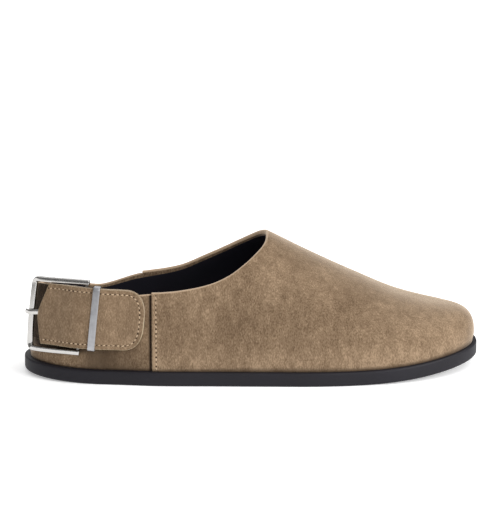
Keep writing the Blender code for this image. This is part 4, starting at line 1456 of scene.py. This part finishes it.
def stitch_tree():
    """Stitches and needle holes along a path of points that carry the direction out of the surface."""
    tree = bpy.data.node_groups.new("Stitch row", "GeometryNodeTree")
    sockets = tree.interface
    sockets.new_socket("Path", in_out="INPUT", socket_type="NodeSocketGeometry")
    for title in ("Pitch", "Stitch Length", "Thread Width", "Hole Width", "Slant"):
        sockets.new_socket(title, in_out="INPUT", socket_type="NodeSocketFloat")
    for title in ("Thread", "Hole"):
        sockets.new_socket(title, in_out="INPUT", socket_type="NodeSocketMaterial")
    sockets.new_socket("Stitches", in_out="OUTPUT", socket_type="NodeSocketGeometry")
    start = tree.nodes.new("NodeGroupInput").outputs
    curve = add_node(tree, "GeometryNodeMeshToCurve", {}, {"Mesh": start["Path"]})
    spaced = add_node(
        tree, "GeometryNodeResampleCurve", {"mode": "LENGTH"},
        {"Curve": curve.outputs["Curve"], "Length": start["Pitch"]},
    )
    out = add_node(tree, "GeometryNodeInputNamedAttribute", {"data_type": "FLOAT_VECTOR"}, {"Name": "out"})
    tangent = tree.nodes.new("GeometryNodeInputTangent").outputs["Tangent"]
    facing = add_node(tree, "FunctionNodeAlignRotationToVector", {"axis": "X"}, {"Vector": tangent})
    upright = add_node(
        tree, "FunctionNodeAlignRotationToVector", {"axis": "Z", "pivot_axis": "X"},
        {"Rotation": facing.outputs["Rotation"], "Vector": out.outputs["Attribute"]},
    )
    uneven = random_between(tree, UNEVEN, UNEVEN_SEED)
    stray = random_between(tree, STRAY, STRAY_SEED)
    slant = add_node(tree, "ShaderNodeCombineXYZ", {}, {"Z": calculate(tree, "ADD", start["Slant"], stray)})
    turned = add_node(
        tree, "FunctionNodeRotateRotation", {"rotation_space": "LOCAL"},
        {"Rotation": upright.outputs["Rotation"], "Rotate By": slant.outputs["Vector"]},
    )
    half = calculate(tree, "MULTIPLY", start["Pitch"], 0.5)
    step = add_node(tree, "ShaderNodeVectorMath", {"operation": "SCALE"}, {0: tangent, "Scale": half})
    between = add_node(
        tree, "GeometryNodeSetPosition", {},
        {"Geometry": spaced.outputs["Curve"], "Offset": step.outputs["Vector"]},
    )
    round_bead = {"Segments": BEAD_SEGMENTS, "Rings": BEAD_RINGS, "Radius": 0.5}
    bead = add_node(tree, "GeometryNodeMeshUVSphere", {}, round_bead)
    joined = tree.nodes.new("GeometryNodeJoinGeometry")
    rows = (
        (spaced.outputs["Curve"], "Thread", "Stitch Length", "Thread Width", THREAD_FLATNESS),
        (between.outputs["Geometry"], "Hole", "Hole Width", "Hole Width", HOLE_FLATNESS),
    )
    for points, material, long_side, wide_side, flatness in rows:
        long = calculate(tree, "MULTIPLY", start[long_side], uneven)
        wide = calculate(tree, "MULTIPLY", start[wide_side], uneven)
        tall = calculate(tree, "MULTIPLY", start[wide_side], flatness)
        scale = add_node(tree, "ShaderNodeCombineXYZ", {}, {"X": long, "Y": wide, "Z": tall})
        placed = add_node(
            tree, "GeometryNodeInstanceOnPoints", {},
            {
                "Points": points, "Instance": bead.outputs["Mesh"],
                "Rotation": turned.outputs["Rotation"], "Scale": scale.outputs["Vector"],
            },
        )
        real = add_node(tree, "GeometryNodeRealizeInstances", {}, {"Geometry": placed.outputs["Instances"]})
        finish = add_node(
            tree, "GeometryNodeSetMaterial", {},
            {"Geometry": real.outputs["Geometry"], "Material": start[material]},
        )
        tree.links.new(finish.outputs["Geometry"], joined.inputs["Geometry"])
    end = tree.nodes.new("NodeGroupOutput")
    tree.links.new(joined.outputs["Geometry"], end.inputs["Stitches"])
    return tree


def stitch_row(name, tree, path, out, values):
    """A plain mesh of the stitches along a path on the shoe."""
    guide = bpy.data.meshes.new(name + "_path")
    guide.from_pydata(row_frame(path).tolist(), [(i, i + 1) for i in range(len(path) - 1)], [])
    layer = guide.attributes.new("out", "FLOAT_VECTOR", "POINT")
    layer.data.foreach_set("vector", np.asarray(out, np.float32).ravel())
    holder = add_object(name + "_path", guide)
    modifier = holder.modifiers.new("Stitches", "NODES")
    modifier.node_group = tree
    for item in tree.interface.items_tree:
        if item.in_out == "INPUT" and item.name in values:
            modifier[item.identifier] = values[item.name]
    depsgraph = bpy.context.evaluated_depsgraph_get()
    mesh = bpy.data.meshes.new_from_object(holder.evaluated_get(depsgraph))
    holder.modifiers.remove(modifier)
    bpy.data.objects.remove(holder)
    bpy.data.meshes.remove(guide)
    mesh.name = name
    mesh.shade_smooth()
    if not mesh.polygons:
        raise RuntimeError(f"{name} has no stitches")
    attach(add_object(name, mesh), BODY)


def on_strap(wrap, a, b, level):
    """Points on the strap, and the directions out of it."""
    points = wrap.point(a, b, level)
    return points, unit(wrap.point(a, b, level + 1.0) - points)


def facing_stitch_path(sizes, wrap):
    """The row round the strap's facing: under edge to the tip, and back along the upper edge."""
    inset = millimetres(sizes.stitch_inset)
    places = strap_places(FACING_START, STITCH_STEP)
    a, b = strap_plan(places, np.array((-1.0, 1.0)), inset, True)
    clear = places > FACING_START + STITCH_CLEAR
    path_a = np.concatenate((a[clear, 0], a[clear, 1][::-1]))
    path_b = np.concatenate((b[clear, 0], b[clear, 1][::-1]))
    spots = np.where(places > FACING_JOIN, a[:, 1], places)[clear]
    back = facing_back(sizes, np.concatenate((spots, spots[::-1])))
    level = back + millimetres(sizes.facing_thickness) - millimetres(sizes.stitch_trough)
    return on_strap(wrap, path_a, path_b, level)


def band_end_stitch_path(sizes, wrap):
    """The row that sews the strap's hidden end to the counter."""
    inset = millimetres(sizes.stitch_inset)
    long_steps, across_steps = BAND_END_STEPS
    long_side = np.linspace(STRAP_START + BAND_END_LENGTH, STRAP_START + inset, long_steps)
    half = strap_half_width(long_side) - UNDER_LAYER_INSET - inset
    across = np.linspace(1.0, -1.0, across_steps)[1:-1]
    path_a = np.concatenate((long_side, np.full(len(across), long_side[-1]), long_side[::-1]))
    path_b = np.concatenate((half, across * half[-1], -half[::-1]))
    level = strap_standoff(path_a) + millimetres(sizes.band_thickness)
    return on_strap(wrap, path_a, path_b, level)


def seam_stitch_path(sizes, side):
    """The row beside the vamp's edge, from the sole up to the top edge."""
    seam = float(seam_places(side))
    v = side * float(station_at(seam + millimetres(sizes.stitch_inset)))
    column = "lateral" if side > 0 else "medial"
    foot = float(sole_top(seam)) + SEAM_STITCH_FOOT
    top = float(along(TOPLINE, column, seam)) - SEAM_STITCH_TOP
    height = np.linspace(foot, top, SEAM_STITCH_STEPS)
    on = Last(np.full(len(height), v)).at_height(height)
    ahead = Last(np.full(len(height), v + side * NORMAL_STEP)).at_height(height)
    out = side * unit(np.cross(ahead - on, np.gradient(on, axis=0)))
    return on - out * SEAM_TROUGH_SHARE * millimetres(sizes.stitch_trough), out


class PieceOperator:
    """What the makers of pieces share."""

    bl_options = {"REGISTER"}

    def sizes(self, context):
        return context.scene.mule_sizes

    def colours(self, context):
        return context.scene.mule_colours


class MULE_OT_sole(PieceOperator, bpy.types.Operator):
    """Make the rubber sole"""

    bl_idname = "mule.sole"
    bl_label = "Sole"

    def execute(self, context):
        rubber = matt_material("rubber", self.colours(context).rubber, RUBBER)
        piece = sheet_piece("sole_rubber", SOLE_EDGE, 0.0, sole_bottom, SOLE_THICKNESS, rubber)
        settle(piece, "sole_rubber", "outsole")
        return {"FINISHED"}


class MULE_OT_insole(PieceOperator, bpy.types.Operator):
    """Make the insole"""

    bl_idname = "mule.insole"
    bl_label = "Insole"

    def execute(self, context):
        leather = matt_material("insole_sheet", self.colours(context).insole, INSOLE_LEATHER)
        thickness = millimetres(self.sizes(context).insole_thickness)
        piece = sheet_piece("insole_sheet", INSOLE_EDGE, INSOLE_INSET, insole_bottom, thickness, leather)
        settle(piece, "lining", "insole")
        return {"FINISHED"}


class MULE_OT_upper(PieceOperator, bpy.types.Operator):
    """Make the vamp and the counter"""

    bl_idname = "mule.upper"
    bl_label = "Upper"

    def execute(self, context):
        suede = suede_material("suede_upper", self.colours(context), UPPER_NAP, False)
        settle(make_vamp(self.sizes(context), suede), "suede", "upper")
        settle(make_counter(self.sizes(context), suede), "suede", "upper")
        return {"FINISHED"}


class MULE_OT_lining(PieceOperator, bpy.types.Operator):
    """Make the lining"""

    bl_idname = "mule.lining"
    bl_label = "Lining"

    def execute(self, context):
        cloth = matt_material("lining_cloth", self.colours(context).lining, LINING_CLOTH)
        settle(make_lining(self.sizes(context), cloth), "lining", "upper")
        return {"FINISHED"}


class MULE_OT_strap(PieceOperator, bpy.types.Operator):
    """Make the heel strap"""

    bl_idname = "mule.strap"
    bl_label = "Heel strap"

    def execute(self, context):
        sizes = self.sizes(context)
        wrap = HeelWrap(millimetres(sizes.seam_step))
        suede = suede_material("suede_strap", self.colours(context), STRAP_NAP, True)
        settle(make_band(sizes, wrap, suede), "suede", "heel_strap")
        settle(make_facing(sizes, wrap, suede), "suede", "heel_strap")
        return {"FINISHED"}


class MULE_OT_buckle(PieceOperator, bpy.types.Operator):
    """Make the buckle's frame, pin and prong, and the keeper"""

    bl_idname = "mule.buckle"
    bl_label = "Buckle"

    def execute(self, context):
        sizes = self.sizes(context)
        colours = self.colours(context)
        wrap = HeelWrap(millimetres(sizes.seam_step))
        nickel = metal_material("nickel", colours.nickel, POLISHED)
        # The pin's darker colour is painted shade
        shaded_dull = metal_material("dull_metal", colours.pin, DULL)
        satin = metal_material("satin_metal", colours.satin, SATIN)
        settle(make_frame(sizes, wrap, nickel), "buckle_metal", "buckle_frame")
        settle(make_pin(sizes, wrap, shaded_dull), "buckle_metal", "buckle_pin")
        settle(make_prong(sizes, wrap, nickel), "buckle_metal", "buckle_prong")
        settle(make_keeper(sizes, wrap, satin), "keeper_metal", "strap_keeper")
        return {"FINISHED"}


class MULE_OT_stitches(PieceOperator, bpy.types.Operator):
    """Sew the strap and the side seams"""

    bl_idname = "mule.stitches"
    bl_label = "Stitches"

    def execute(self, context):
        sizes = self.sizes(context)
        colours = self.colours(context)
        wrap = HeelWrap(millimetres(sizes.seam_step))
        tree = stitch_tree()
        values = {
            "Pitch": sizes.stitch_pitch,
            "Stitch Length": sizes.stitch_length,
            "Thread Width": sizes.thread_width,
            "Hole Width": sizes.hole_width,
            "Slant": sizes.stitch_slant,
            "Thread": matt_material("thread", colours.thread, THREAD),
            # Needle holes get a dark colour as painted shade
            "Hole": matt_material("needle_hole", colours.needle_hole, NEEDLE_HOLE),
        }
        stitch_row("facing_stitches", tree, *facing_stitch_path(sizes, wrap), values)
        stitch_row("band_end_stitches", tree, *band_end_stitch_path(sizes, wrap), values)
        stitch_row("outer_seam_stitches", tree, *seam_stitch_path(sizes, 1.0), values)
        stitch_row("inner_seam_stitches", tree, *seam_stitch_path(sizes, -1.0), values)
        return {"FINISHED"}


def add_light(box, watts, target):
    """A soft rectangular light turned to the shoe."""
    name = box.name + "_light"
    light = bpy.data.lights.new(name, "AREA")
    light.energy = watts
    light.shape = "RECTANGLE"
    light.size, light.size_y = box.width, box.height
    lamp = add_object(name, light)
    lamp.location = box.place
    lamp.rotation_euler = (Vector(target) - Vector(box.place)).to_track_quat("-Z", "Y").to_euler()
    lamp.visible_camera = False


class MULE_OT_stage(PieceOperator, bpy.types.Operator):
    """Set up the floor, the lights and the camera"""

    bl_idname = "mule.stage"
    bl_label = "Stage"

    def execute(self, context):
        stage = context.scene.mule_stage
        self.floor(context, stage)
        self.world(context, stage)
        middle = (0.0, 0.0, stage.target_height)
        key = bpy.data.lights.new("key_light", "SUN")
        key.energy = stage.key_strength
        key.angle = stage.key_spread
        lamp = add_object("key_light", key)
        lamp.rotation_euler = (stage.key_front, stage.key_tilt, 0.0)
        for box in SOFTBOXES:
            add_light(box, getattr(stage, box.name + "_power"), middle)
        self.camera(context, stage)
        context.scene.view_settings.view_transform = "Standard"
        return {"FINISHED"}

    def floor(self, context, stage):
        """Lay the pale floor, which glows a little."""
        mesh = bpy.data.meshes.new("floor")
        signs = ((-1, -1), (1, -1), (1, 1), (-1, 1))
        corners = [(x * FLOOR_REACH, y * FLOOR_REACH, 0.0) for x, y in signs]
        mesh.from_pydata(corners, [], [(0, 1, 2, 3)])
        material, _, shader, _ = new_material("floor")
        set_inputs(shader, {
            "Base Color": (*self.colours(context).floor, 1.0),
            "Roughness": 0.9,
            "Specular IOR Level": 0.1,
            "Emission Color": WHITE,
            "Emission Strength": stage.floor_glow,
        })
        mesh.materials.append(material)
        add_object("floor", mesh)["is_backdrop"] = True

    def world(self, context, stage):
        """Light the studio evenly, brighter from above."""
        world = bpy.data.worlds.new("studio")
        world.use_nodes = True
        tree = world.node_tree
        way = tree.nodes.new("ShaderNodeTexCoord").outputs["Generated"]
        height = add_node(tree, "ShaderNodeSeparateXYZ", {}, {"Vector": way}).outputs["Z"]
        span = add_node(
            tree, "ShaderNodeMapRange", {"interpolation_type": "SMOOTHSTEP"},
            {"Value": height, "To Min": stage.horizon_light, "To Max": stage.sky_light},
        )
        tree.links.new(span.outputs[0], tree.nodes["Background"].inputs["Strength"])
        set_inputs(tree.nodes["Background"], {"Color": WHITE})
        context.scene.world = world

    def camera(self, context, stage):
        """Look at the shoe's outer side from a little above."""
        data = bpy.data.cameras.new("camera")
        data.lens = stage.lens
        data.clip_start = CLIP_START
        camera = add_object("camera", data)
        up, turn = stage.elevation, stage.yaw
        back = Vector((sin(turn) * cos(up), -cos(turn) * cos(up), sin(up)))
        right = Vector((cos(turn), sin(turn), 0.0))
        target = Vector((0.0, 0.0, stage.target_height))
        aim = target + right * stage.aim_side + back.cross(right) * stage.aim_rise
        camera.location = target + back * stage.distance
        camera.rotation_euler = (aim - camera.location).to_track_quat("-Z", "Y").to_euler()
        context.scene.camera = camera


class MULE_PT_panel(bpy.types.Panel):
    """Lists the makers of the mule's pieces"""

    bl_idname = "MULE_PT_panel"
    bl_label = "Suede mule"
    bl_space_type = "VIEW_3D"
    bl_region_type = "UI"
    bl_category = "Mule"

    def draw(self, context):
        for maker in MAKERS:
            self.layout.operator(maker.bl_idname)


GROUPS = (("mule_sizes", MuleSizes), ("mule_colours", MuleColours), ("mule_stage", MuleStage))
MAKERS = (
    MULE_OT_sole,
    MULE_OT_insole,
    MULE_OT_upper,
    MULE_OT_lining,
    MULE_OT_strap,
    MULE_OT_buckle,
    MULE_OT_stitches,
    MULE_OT_stage,
)


def register():
    for name, group in GROUPS:
        bpy.utils.register_class(group)
        setattr(bpy.types.Scene, name, PointerProperty(type=group))
    for maker in MAKERS:
        bpy.utils.register_class(maker)
    bpy.utils.register_class(MULE_PT_panel)


def unregister():
    bpy.utils.unregister_class(MULE_PT_panel)
    for maker in reversed(MAKERS):
        bpy.utils.unregister_class(maker)
    for name, group in reversed(GROUPS):
        delattr(bpy.types.Scene, name)
        bpy.utils.unregister_class(group)


def main():
    register()
    bpy.ops.mule.sole()
    bpy.ops.mule.insole()
    bpy.ops.mule.upper()
    bpy.ops.mule.lining()
    bpy.ops.mule.strap()
    bpy.ops.mule.buckle()
    bpy.ops.mule.stitches()
    bpy.ops.mule.stage()
    boxes = {"cad": CAD_BOX, "visual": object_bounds()}
    {name: [list(low), list(high)] for name, (low, high) in boxes.items()}


if __name__ == "__main__":
    main()
